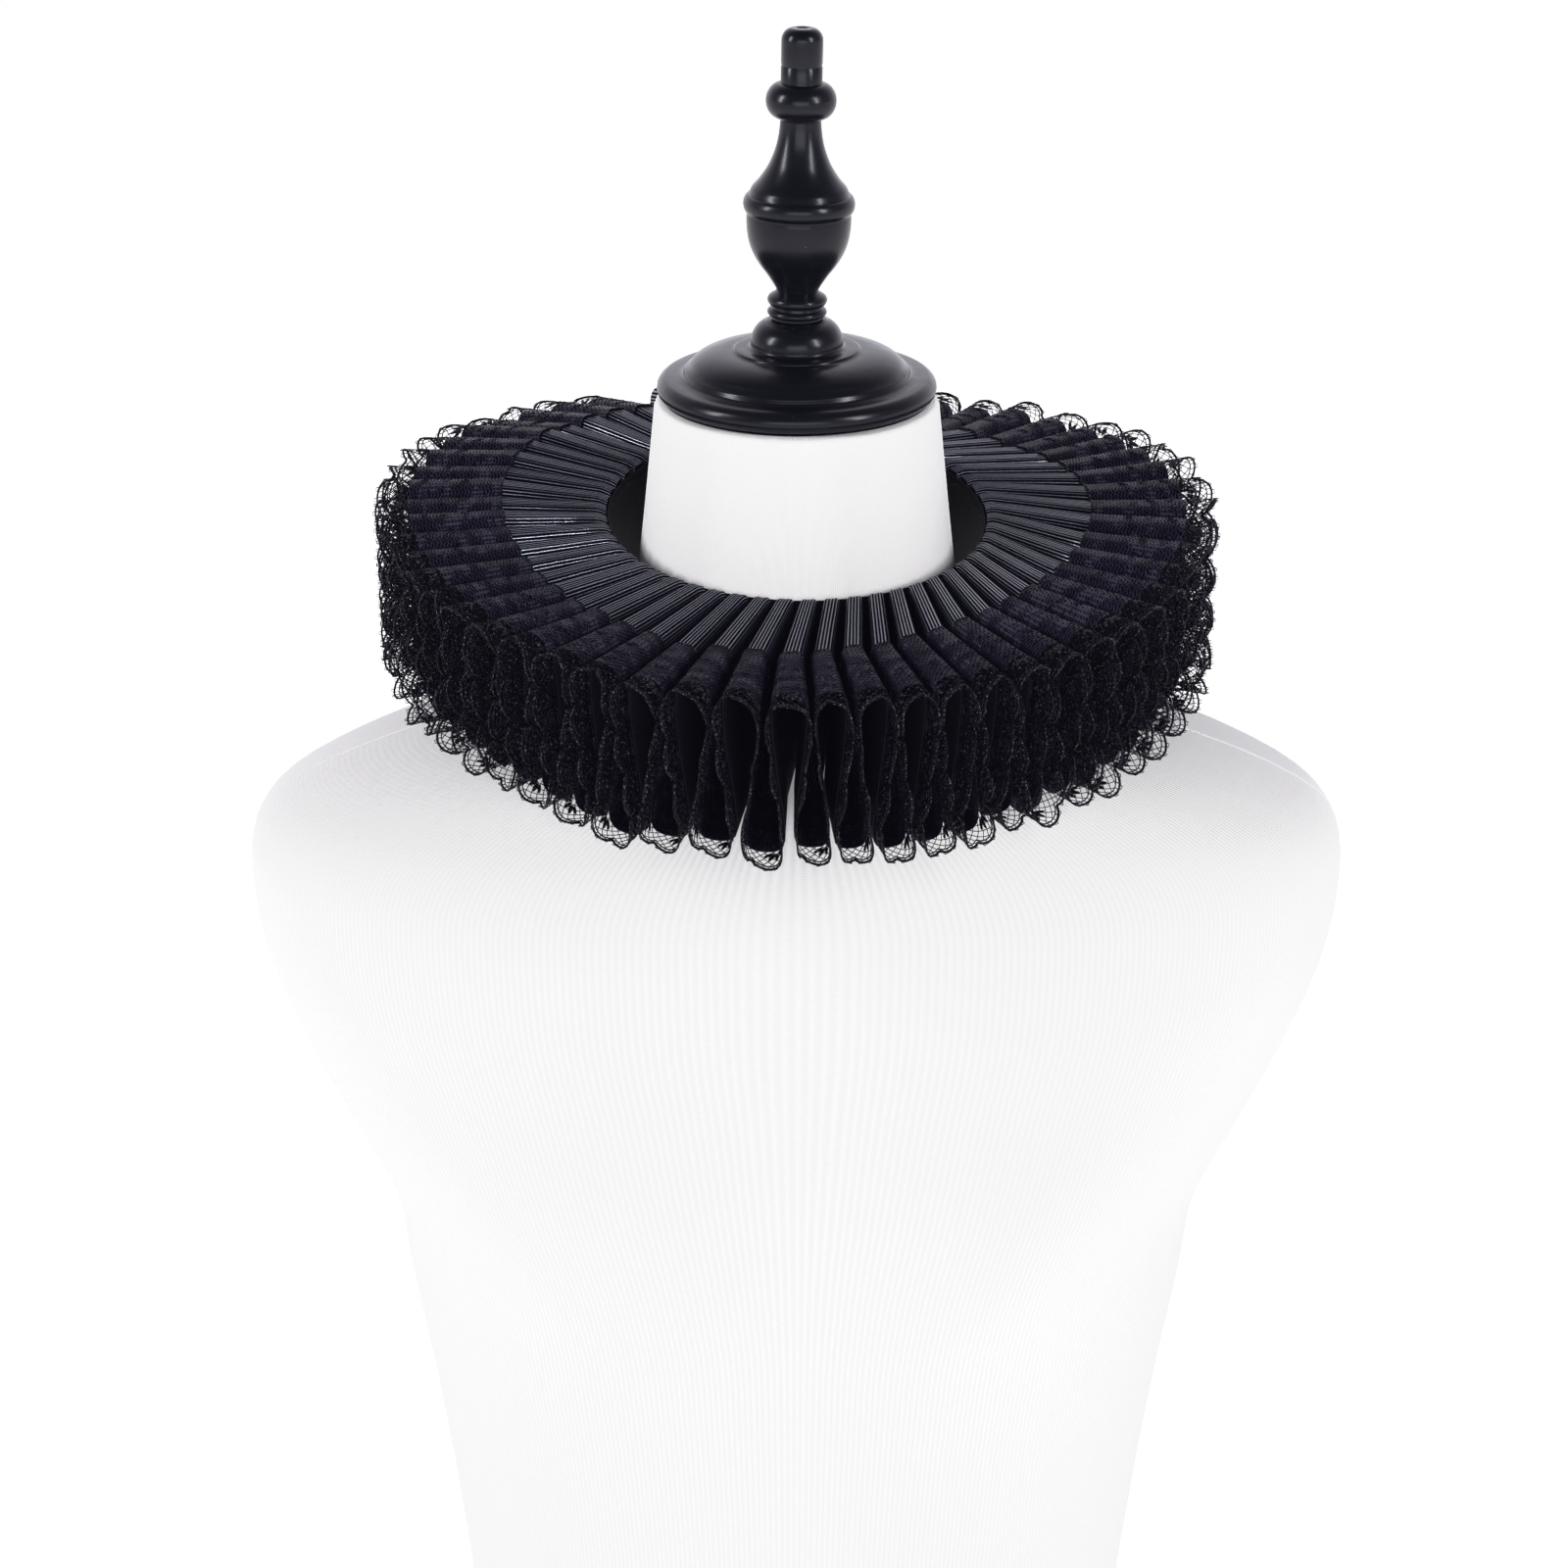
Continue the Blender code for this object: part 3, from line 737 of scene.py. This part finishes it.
# Ruff
def ring_place():
    """The plane that the inner ring of fold tops lies in."""
    centre = (0.0, NECK_AXIS_Y + RING_CENTRE_Y, FORM_HEIGHT - RING_DROP)
    turn = Matrix.Rotation(RING_ROLL, 4, "Y") @ Matrix.Rotation(RING_TILT, 4, "X")
    return np.array(Matrix.Translation(centre) @ turn)


PLACE = ring_place()


def on_ring(angle, radius, height):
    """Points round the neck, over the inner ring's plane."""
    turn = np.radians(angle)
    flat = np.stack([radius * np.sin(turn), -radius * np.cos(turn), height + 0.0 * turn], axis=-1)
    return flat @ PLACE[:3, :3].T + PLACE[:3, 3]


def harmonic(terms, angle):
    """A height that changes slowly round the neck."""
    turn = np.radians(angle)
    waves = (1.0 + 0.0 * turn, np.cos(turn), np.sin(turn), np.cos(2 * turn), np.sin(2 * turn))
    return sum(term * part for term, part in zip(terms, waves))


def fold_height(angle, radius):
    """How high the fold tops lie over the inner ring's plane."""
    near = harmonic(HEIGHT_AT_LACE_START, angle)
    far = harmonic(HEIGHT_AT_LACE_EDGE, angle)
    out = radius - INNER_RADIUS
    start = LACE_START - INNER_RADIUS
    edge = LACE_EDGE - INNER_RADIUS
    near_part = (out - edge) * near / (start * (start - edge))
    far_part = (out - start) * far / (edge * (edge - start))
    return out * (near_part + far_part)


def unevenness(turns):
    """Four chance values from -1 to 1 that change from fold to fold."""
    draw = random.Random(UNEVEN_SEED)
    folds = np.arange(2 * PLEATS + 3)
    whole = np.floor(2 * turns)
    part_way = 2 * turns - whole
    eased = whole + part_way * part_way * (3 - 2 * part_way)
    return [np.interp(eased, folds, [draw.uniform(-1.0, 1.0) for _ in folds]) for _ in range(4)]


def ruff_points(turns, radius):
    """Points of the folded ribbon's middle at one radius; turns counts the pleats."""
    radii, *columns = zip(*FOLD_SECTIONS)
    overhang, low_overhang, flatness, depth = [np.interp(radius, radii, column) for column in columns]
    reach = min(1.0, (radius - INNER_RADIUS) / (LACE_START - INNER_RADIUS))
    swing = math.sin(reach * math.pi / 2)
    pitch = (360.0 - CLOSURE_OPENING) / PLEATS
    base = CLOSURE_ANGLE + CLOSURE_OPENING / 2 + pitch * (turns - FIRST_TURN)
    at_band, swept = zip(*FOLD_SWEEP)
    sweep = np.interp(base, at_band, swept)
    spread = np.interp(base + pitch / 2, at_band, swept) - np.interp(base - pitch / 2, at_band, swept)
    local_pitch = pitch + swing * spread
    odd_angle, odd_height, odd_depth, odd_loop = unevenness(turns)
    phase = 2 * np.pi * turns
    overhang = overhang + (low_overhang - overhang) * (1 - np.cos(phase)) / 2
    overhang = overhang * (1 + UNEVEN_LOOP * odd_loop * reach * (1 + np.cos(phase)) / 2)
    angle = base + swing * sweep + local_pitch * (overhang * np.sin(2 * phase))
    angle = angle + local_pitch * UNEVEN_ANGLE * odd_angle * reach
    level = (1 + flatness) * np.cos(phase) - flatness * np.cos(phase) ** 3
    share_down = (1 - level) / 2
    last_fold = np.clip((turns - LACE_LAST_TURN) * 2, 0.0, 1.0)
    height = fold_height(angle, radius) + UNEVEN_HEIGHT * odd_height * reach + END_LIFT * last_fold * reach
    drop = share_down * (depth + UNEVEN_DEPTH * odd_depth * reach)
    flared = radius + BAND_FLARE * (drop / BAND_HEIGHT) * (1 - reach)
    points = on_ring(angle, flared, height)
    points[:, 2] -= drop
    return points


def ruff_rings(turns):
    """The three measured rings of the cloth's middle, and the way out of its upper side at each."""
    rings = [ruff_points(turns, radius) for radius in (INNER_RADIUS, LACE_START, LACE_EDGE)]
    rulings = [rings[1] - rings[0], rings[2] - rings[0], rings[2] - rings[1]]
    ways = [unit(np.cross(ruling, np.gradient(ring, axis=0))) for ring, ruling in zip(rings, rulings)]
    return rings, ways


def ruff_grid(turns, radii):
    """Points, ways out and flat places of the cloth at each of the radii."""
    rings, ways = ruff_rings(turns)
    points, sides = [], []
    for radius in radii:
        first = 0 if radius <= LACE_START else 1
        start, end = ((INNER_RADIUS, LACE_START), (LACE_START, LACE_EDGE))[first]
        share = (radius - start) / (end - start)
        points.append(rings[first] + share * (rings[first + 1] - rings[first]))
        sides.append(unit(ways[first] + share * (ways[first + 1] - ways[first])))
    points = np.stack(points, axis=1)
    share_up = (1 + np.cos(2 * np.pi * turns)) / 2
    for column, radius in enumerate(radii):
        inside = max(0.0, 1 - (radius - INNER_RADIUS) / END_ROUND)
        points[:, column, 2] -= END_ROUND_DROP * inside ** 2 * share_up
    length = lengths(rings[1])
    return points, np.stack(sides, axis=1), flat_grid(length, np.array(radii) - INNER_RADIUS)


def turns_between(first, last, points):
    return np.linspace(first, last, round((last - first) * points) + 1)


def ribbon():
    """The ribbon, a thin closed wall whose two sides have their own look; the lower side's is a shaded copy
    of the upper side's.
    """
    turns = turns_between(FIRST_TURN, PLEATS + FIRST_TURN, RIBBON_POINTS)
    radii = np.concatenate([
        np.linspace(INNER_RADIUS, INNER_RADIUS + END_ROUND, RIBBON_COLUMNS[0], endpoint=False),
        np.linspace(INNER_RADIUS + END_ROUND, LACE_START, RIBBON_COLUMNS[1], endpoint=False),
        np.linspace(LACE_START, RIBBON_EDGE, RIBBON_COLUMNS[2]),
    ])
    points, sides, flat = ruff_grid(turns, radii)
    high, low = points + sides * RIBBON_HALF, points - sides * RIBBON_HALF
    item = shell("ribbon_cloth", high, low, flat, "ribbon", "ribbon_shaded_side")
    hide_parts("ribbon_ruffle")


class LaceMap:
    """Takes places on the flat lace to the folded one: along it, out from the ribbon's edge, and up."""

    def __init__(self):
        turns = turns_between(FIRST_TURN, LACE_LAST_TURN, TABLE_POINTS)
        rings, ways = ruff_rings(turns)
        self.tables = (rings[1], rings[2], ways[1], ways[2])
        self.length = lengths((rings[1] + rings[2]) / 2)
        self.total = float(self.length[-1])

    def __call__(self, along, out, up):
        share = ((out + RIBBON_EDGE - LACE_START) / (LACE_EDGE - LACE_START))[:, None]
        row = np.interp(along, self.length, np.arange(len(self.length)))
        low = np.clip(np.floor(row).astype(int), 0, len(self.length) - 2)
        part = (row - low)[:, None]
        near, far, near_way, far_way = [
            table[low] * (1 - part) + table[low + 1] * part for table in self.tables]
        way = unit(near_way * (1 - share) + far_way * share)
        return near * (1 - share) + far * share + way * up[:, None]


def lace_net():
    """The lace where it lies on the ribbon: a thin closed wall with its net in the surface."""
    turns = turns_between(FIRST_TURN, LACE_LAST_TURN, RIBBON_POINTS)
    radii = np.linspace(LACE_START, RIBBON_EDGE + LACE_LAP, LACE_COLUMNS)
    points, sides, flat = ruff_grid(turns, radii)
    item = shell("lace_net", points + sides * NET_HIGH, points + sides * NET_LOW, flat, "lace")
    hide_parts("lace_trim")
    return item, float(flat[-1, 0, 0])


def thread_faces(rows, columns):
    """Triangles of a thin closed rod, with its two ends."""
    quads = grid_faces(rows, columns, flip=True, around=True)
    last = (rows - 1) * columns
    faces = [quads[:, [0, 1, 2]], quads[:, [0, 2, 3]]]
    for i in range(1, columns - 1):
        faces.append(np.array([[0, i + 1, i], [last, last + i, last + i + 1]]))
    return np.concatenate(faces)


def tube(line, thread, section=TRIANGLE):
    """Points and faces of a closed thread along a line of (along, out, up) on the flat lace."""
    width, height = thread
    line = np.asarray(line, float)
    steps = unit(np.gradient(line[:, :2], axis=0))
    aside = np.stack([-steps[:, 1], steps[:, 0]], axis=1)
    rings = []
    for a, b in section:
        moved = line.copy()
        moved[:, :2] += aside * (a * width)
        moved[:, 2] += b * height
        rings.append(moved)
    return np.stack(rings, axis=1).reshape(-1, 3), thread_faces(len(line), len(section))


def leaf(centre, length, width, angle, height, sides):
    """A solid leaf of the lace's pattern."""
    turns = math.tau * np.arange(sides) / sides
    x = np.cos(turns) * length / 2
    y = np.sin(turns) * width / 2 * (1 - 0.35 * np.cos(turns))
    c, s = math.cos(angle), math.sin(angle)
    rim = np.stack([centre[0] + x * c - y * s, centre[1] + x * s + y * c, np.zeros(sides)], axis=1)
    top = rim + [0.0, 0.0, height / 2]
    low = rim - [0.0, 0.0, height / 2]
    peaks = [[centre[0], centre[1], height * 0.9], [centre[0], centre[1], -height * 0.9]]
    points = np.concatenate([top, low, peaks])
    i = np.arange(sides)
    j = (i + 1) % sides
    faces = np.concatenate([
        np.stack([i, j, np.full(sides, 2 * sides)], axis=1),
        np.stack([sides + j, sides + i, np.full(sides, 2 * sides + 1)], axis=1),
        np.stack([i, sides + i, sides + j], axis=1),
        np.stack([i, sides + j, j], axis=1),
    ])
    return points, faces


def merge(parts):
    """The points and faces of all the parts as one."""
    points, faces, start = [], [], 0
    for some_points, some_faces in parts:
        points.append(some_points)
        faces.append(some_faces + start)
        start += len(some_points)
    return np.concatenate(points), np.concatenate(faces)


def scallop(x, cord):
    """How far out a scalloped cord lies at a place along the lace."""
    foot, rise = cord
    return foot + rise * abs(math.sin(math.pi * x / LACE_TILE)) ** 0.7


def edge_cords():
    """The double cord of one scallop, the ties between and the picots outside."""
    places = np.linspace(0.0, LACE_TILE, CORD_POINTS)
    outer = [(x, scallop(x, OUTER_CORD), 0.0) for x in places]
    inner = [(x, scallop(x, INNER_CORD), 0.0) for x in places]
    parts = [tube(outer, OUTER_THREAD, SQUARE), tube(inner, INNER_THREAD)]
    for x in np.linspace(0.0, LACE_TILE, TIES, endpoint=False) + LACE_TILE / (2 * TIES):
        parts.append(tube([(x, scallop(x, INNER_CORD), 0.0), (x, scallop(x, OUTER_CORD), 0.0)], TIE_THREAD))
    for x in np.linspace(0.1, 0.9, PICOTS) * LACE_TILE:
        foot = scallop(x, OUTER_CORD)
        corners = ((-0.0006, 0.0), (-0.0005, 0.0010), (0.0005, 0.0010), (0.0006, 0.0))
        parts.append(tube([(x + a, foot + b, 0.0) for a, b in corners], PICOT_THREAD))
    return parts


def edge_net():
    """The crossing threads of the net in one scallop, cut off at the inner cord."""
    cell = LACE_TILE / NET_CELLS
    rise = NET_REACH / NET_CELLS
    parts = []
    for row in range(NET_CELLS):
        for column in range(NET_CELLS):
            x = (column + 0.5 * (row % 2)) * cell
            y = row * rise
            for side in (-0.5, 0.5):
                limit = scallop((x + side * cell) % LACE_TILE, INNER_CORD)
                share = min(1.0, (limit - y) / rise)
                if share == 1.0 or y < scallop(x % LACE_TILE, INNER_CORD) - NET_SHORTEST:
                    end = (x + side * cell * share, y + rise * share, 0.0)
                    parts.append(tube([(x, y, 0.0), end], NET_THREAD))
    return parts


def edge_leaves():
    """The fan of leaves in one scallop."""
    parts = []
    for angle, length in LEAF_FAN:
        way = math.radians(90 - angle)
        reach = 0.0018 + length / 2
        centre = (LACE_TILE / 2 + reach * math.cos(way), 0.0012 + reach * math.sin(way))
        parts.append(leaf(centre, length, 0.00125, way, 0.0004, 8))
    return parts


def relief():
    """One width of the arches and leaves that stand on the net over the ribbon."""
    parts = []
    for row, (foot, rise) in enumerate(RELIEF_ROWS):
        middle = LACE_TILE / 2 + 0.5 * LACE_TILE * (row % 2)
        for inset in RELIEF_INSETS:
            half = LACE_TILE / 2 - inset
            line = []
            for step in range(RELIEF_STEPS + 1):
                turn = math.pi * step / RELIEF_STEPS
                line.append((middle - half * math.cos(turn), foot + (rise - inset) * math.sin(turn), 0.0))
            parts.append(tube(line, RELIEF_THREAD))
        if row == len(RELIEF_ROWS) - 1:
            break
        for angle in RELIEF_LEAVES:
            way = math.radians(90 - angle)
            centre = (middle + 0.0022 * math.cos(way), foot - 0.0012 + 0.0026 * math.sin(way))
            parts.append(leaf(centre, 0.0030, 0.0011, way, 0.0003, 6))
    return parts


def repeat(name, lace, tile, first, last, count, up, look):
    """The tile repeated along part of the lace."""
    points, faces = tile
    width = lace.total / count
    along = (points[:, 0] / LACE_TILE)[None, :] * width + (np.arange(first, last) * width)[:, None]
    out = np.broadcast_to(points[:, 1], along.shape)
    raised = np.broadcast_to(points[:, 2], along.shape)
    flutter = FLUTTER * np.sin(along * math.tau / FLUTTER_LENGTH) * np.clip(out / 0.012, 0.0, 1.0)
    world = lace(along.ravel().clip(0.0, lace.total), out.ravel(), (raised + up + flutter).ravel())
    all_faces = (faces[None] + (np.arange(last - first) * len(points))[:, None, None]).reshape(-1, 3)
    flat = np.stack([along.ravel(), out.ravel() + RIBBON_EDGE - INNER_RADIUS], axis=1)
    return place_piece(name, world, [all_faces], look, None, flat)


def lace_threads(lace):
    """The free edge and the relief, each in a few pieces."""
    count = round(lace.total / LACE_TILE)
    made = []
    for kind, parts, pieces, up, look in (
        ("edge", edge_cords() + edge_net() + edge_leaves(), LACE_PARTS, (NET_LOW + NET_HIGH) / 2, "thread"),
        ("relief", relief(), LACE_PARTS // 2, NET_HIGH, "lace"),
    ):
        tile = merge(parts)
        marks = np.linspace(0, count, pieces + 1).astype(int)
        for number, (first, last) in enumerate(zip(marks, marks[1:]), start=1):
            name = f"lace_{kind}_{number}"
            made.append(repeat(name, lace, tile, first, last, count, up, look))
    return made


def lace_header(lace):
    """The cord along the lace's inner edge, where it is sewn to the ribbon."""
    along = np.linspace(0.0, lace.total, round(2 * lace.total / HEADER_WAVE) + 1)
    out = LACE_START - RIBBON_EDGE + 0.0004 + 0.00025 * np.sin(along * math.tau / HEADER_WAVE)
    line = np.stack([along, out, np.full_like(along, NET_HIGH)], axis=1)
    points, faces = tube(line, HEADER_THREAD, SQUARE)
    world = lace(points[:, 0], points[:, 1], points[:, 2])
    return place_piece("lace_header", world, [faces], "thread", None)


# Band
def strip_outline(height):
    """Offset and drop of a strip's cross section, with rounded edges."""
    half = BAND_THICKNESS / 2
    turns = np.linspace(0, math.pi, 7)
    rounded = [(half * math.cos(turn), -half * math.sin(turn) + half) for turn in turns]
    shares = (0.04, 0.30, 0.60, 0.96)
    down = [(-half, half + share * (height - BAND_THICKNESS)) for share in shares]
    up = [(half, half + share * (height - BAND_THICKNESS)) for share in shares[::-1]]
    return rounded + down + [(-offset, height - drop) for offset, drop in rounded] + up


def strip(name, start, end, steps, face_radius, top_drop, height, node_name):
    """An upright strip round the neck with rounded edges."""
    angles = np.linspace(start, end, steps + 1)
    outline = strip_outline(height)
    rows = []
    for offset, down in outline:
        flare = BAND_FLARE * (top_drop + down - BAND_TOP_DROP) / BAND_HEIGHT
        points = on_ring(angles, face_radius - BAND_THICKNESS / 2 + offset + flare, 0.0)
        points[:, 2] -= top_drop + down
        rows.append(points)
    rings = np.stack(rows, axis=1)
    faces = rod_faces(steps + 1, len(outline), flip=True)
    length = np.radians(angles - start) * face_radius
    flat = flat_grid(length, np.array([down for _, down in outline])).reshape(-1, 2)
    item = place_piece(name, rings.reshape(-1, 3), faces, "satin", 50, flat)
    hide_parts(node_name)


def stitches(name, start, end, radius, drop):
    """A row of short raised stitches on the band's inner face."""
    lift = np.array([0.0, STITCH_LIFT, STITCH_LIFT, 0.0])
    flare = BAND_FLARE * (drop - BAND_TOP_DROP) / BAND_HEIGHT
    parts = []
    for number in range(int((end - start) / STITCH_PITCH)):
        middle = start + (number + 0.5) * STITCH_PITCH
        angles = np.linspace(middle - STITCH_LENGTH / 2, middle + STITCH_LENGTH / 2, len(lift))
        rings = []
        for a, b in ((STITCH_SUNK, -STITCH_HALF), (STITCH_SUNK, STITCH_HALF), (-STITCH_LIFT, 0.0)):
            points = on_ring(angles, radius + flare + a - lift, 0.0)
            points[:, 2] -= drop + b
            rings.append(points)
        parts.append((np.stack(rings, axis=1).reshape(-1, 3), thread_faces(len(lift), len(rings))))
    points, faces = merge(parts)
    place_piece(name, points, [faces], "thread", 60)


def band():
    """The neck band, open at the closure, and the tab over its opening."""
    start = CLOSURE_ANGLE + BAND_END_GAP / 2
    end = CLOSURE_ANGLE + 360.0 - BAND_END_GAP / 2
    face = INNER_RADIUS - SEAM_GAP
    strip("band_cloth", start, end, BAND_STEPS, face, BAND_TOP_DROP, BAND_HEIGHT,
          "neck_band")
    tab_start = CLOSURE_ANGLE - TAB_SPAN / 2
    tab_end = tab_start + TAB_SPAN
    tab_face = INNER_RADIUS - BAND_THICKNESS - 2 * SEAM_GAP
    top = BAND_TOP_DROP + (BAND_HEIGHT - TAB_HEIGHT) / 2
    strip("tab_cloth", tab_start, tab_end, TAB_STEPS, tab_face, top, TAB_HEIGHT, "band_tab")
    clear_of_tab = TAB_SPAN / 2 + 1.0
    row_start = CLOSURE_ANGLE + clear_of_tab
    row_end = CLOSURE_ANGLE + 360 - clear_of_tab
    for name, drop in zip(("band_stitching_top", "band_stitching_low"), BAND_STITCH_DROPS):
        stitches(name, row_start, row_end, face - BAND_THICKNESS, drop)
    tab_drops = (top + TAB_STITCH_INSET, top + TAB_HEIGHT - TAB_STITCH_INSET)
    for name, drop in zip(("tab_stitching_top", "tab_stitching_low"), tab_drops):
        stitches(name, tab_start + 0.6, tab_end - 0.6, tab_face - BAND_THICKNESS, drop)


# Studio
def studio_floor():
    """A plain pale floor that glows a little."""
    look, _, shader = material("studio_floor", (0.80, 0.80, 0.80), 0.9, 0.0)
    shader.inputs["Emission Color"].default_value = (1.0, 1.0, 1.0, 1.0)
    shader.inputs["Emission Strength"].default_value = FLOOR_GLOW
    mesh = bpy.data.meshes.new("studio_floor")
    signs = ((-1, -1), (1, -1), (1, 1), (-1, 1))
    corners = [(x * FLOOR_HALF, y * FLOOR_HALF, -FLOOR_DEPTH) for x, y in signs]
    mesh.from_pydata(corners, [], [(0, 1, 2, 3)])
    mesh.materials.append(look)
    add_object("studio_floor", mesh)


def surroundings():
    """A studio that is bright behind the form and darker overhead and in front."""
    world = bpy.data.worlds.new("studio")
    bpy.context.scene.world = world
    world.use_nodes = True
    tree = world.node_tree
    back = tree.nodes["Background"]
    way = tree.nodes.new("ShaderNodeTexCoord")
    parts = tree.nodes.new("ShaderNodeSeparateXYZ")
    tree.links.new(way.outputs["Generated"], parts.inputs[0])
    depth = Value(tree, parts.outputs[1]) * 0.5 + 0.5
    shade = ramp(depth, ((0.25, (0.20, 0.20, 0.22)), (0.60, (0.34, 0.34, 0.37)), (0.92, (1.15, 1.15, 1.25))))
    tree.links.new(shade, back.inputs["Color"])
    height = Value(tree, parts.outputs[2]).joined("MAXIMUM", 0.0)
    tree.links.new(((1.0 - height * 0.75) * 1.35).socket, back.inputs["Strength"])


def lamps():
    for name, place, size, power, aim in LAMPS:
        lamp = bpy.data.lights.new(name, "AREA")
        lamp.shape = "RECTANGLE"
        lamp.size, lamp.size_y = size
        lamp.energy = power
        item = add_object(name, lamp)
        item.location = place
        item.rotation_euler = (Vector(aim) - Vector(place)).to_track_quat("-Z", "Y").to_euler()


def tone_curve():
    """A soft shoulder for the white knit, and blacks that stay a little open."""
    view = bpy.context.scene.view_settings
    view.view_transform = "Standard"
    view.look = "None"
    view.use_curve_mapping = True
    tones = view.curve_mapping
    tones.white_level = (WHITE_LEVEL, WHITE_LEVEL, WHITE_LEVEL)
    curve = tones.curves[3]
    for place, tone in TONES:
        curve.points.new(place, tone)
    for point in curve.points:
        point.handle_type = "VECTOR"
    for channel, darkest in zip(tones.curves, DARKEST):
        channel.points[0].location = (0.0, darkest)
    tones.update()


def camera():
    data = bpy.data.cameras.new("camera")
    data.lens = CAMERA_LENS
    data.clip_end = CAMERA_REACH
    item = add_object("camera", data)
    item.location = CAMERA_PLACE
    item.rotation_euler = (math.radians(90.0 - CAMERA_PITCH), 0.0, 0.0)
    bpy.context.scene.camera = item


LOOKS = {
    "knit": knit_look(),
    "gloss": gloss_look(),
    "satin": satin_look(),
    "ribbon": ribbon_look(),
    "ribbon_shaded_side": ribbon_shaded_side_look(),
    "lace": lace_look(),
    "thread": thread_look(),
    "board": board_look(),
}
OUTER, INNER, NORMALS = form_walls()
form_cover(OUTER, INNER)
form_body(INNER, NORMALS)
form_seams(OUTER)
neck_cap()
finial()
ribbon()
LACE = LaceMap()
NET, NET_LENGTH = lace_net()
THREADS = lace_threads(LACE) + [lace_header(LACE)]
band()
studio_floor()
surroundings()
lamps()
tone_curve()
camera()
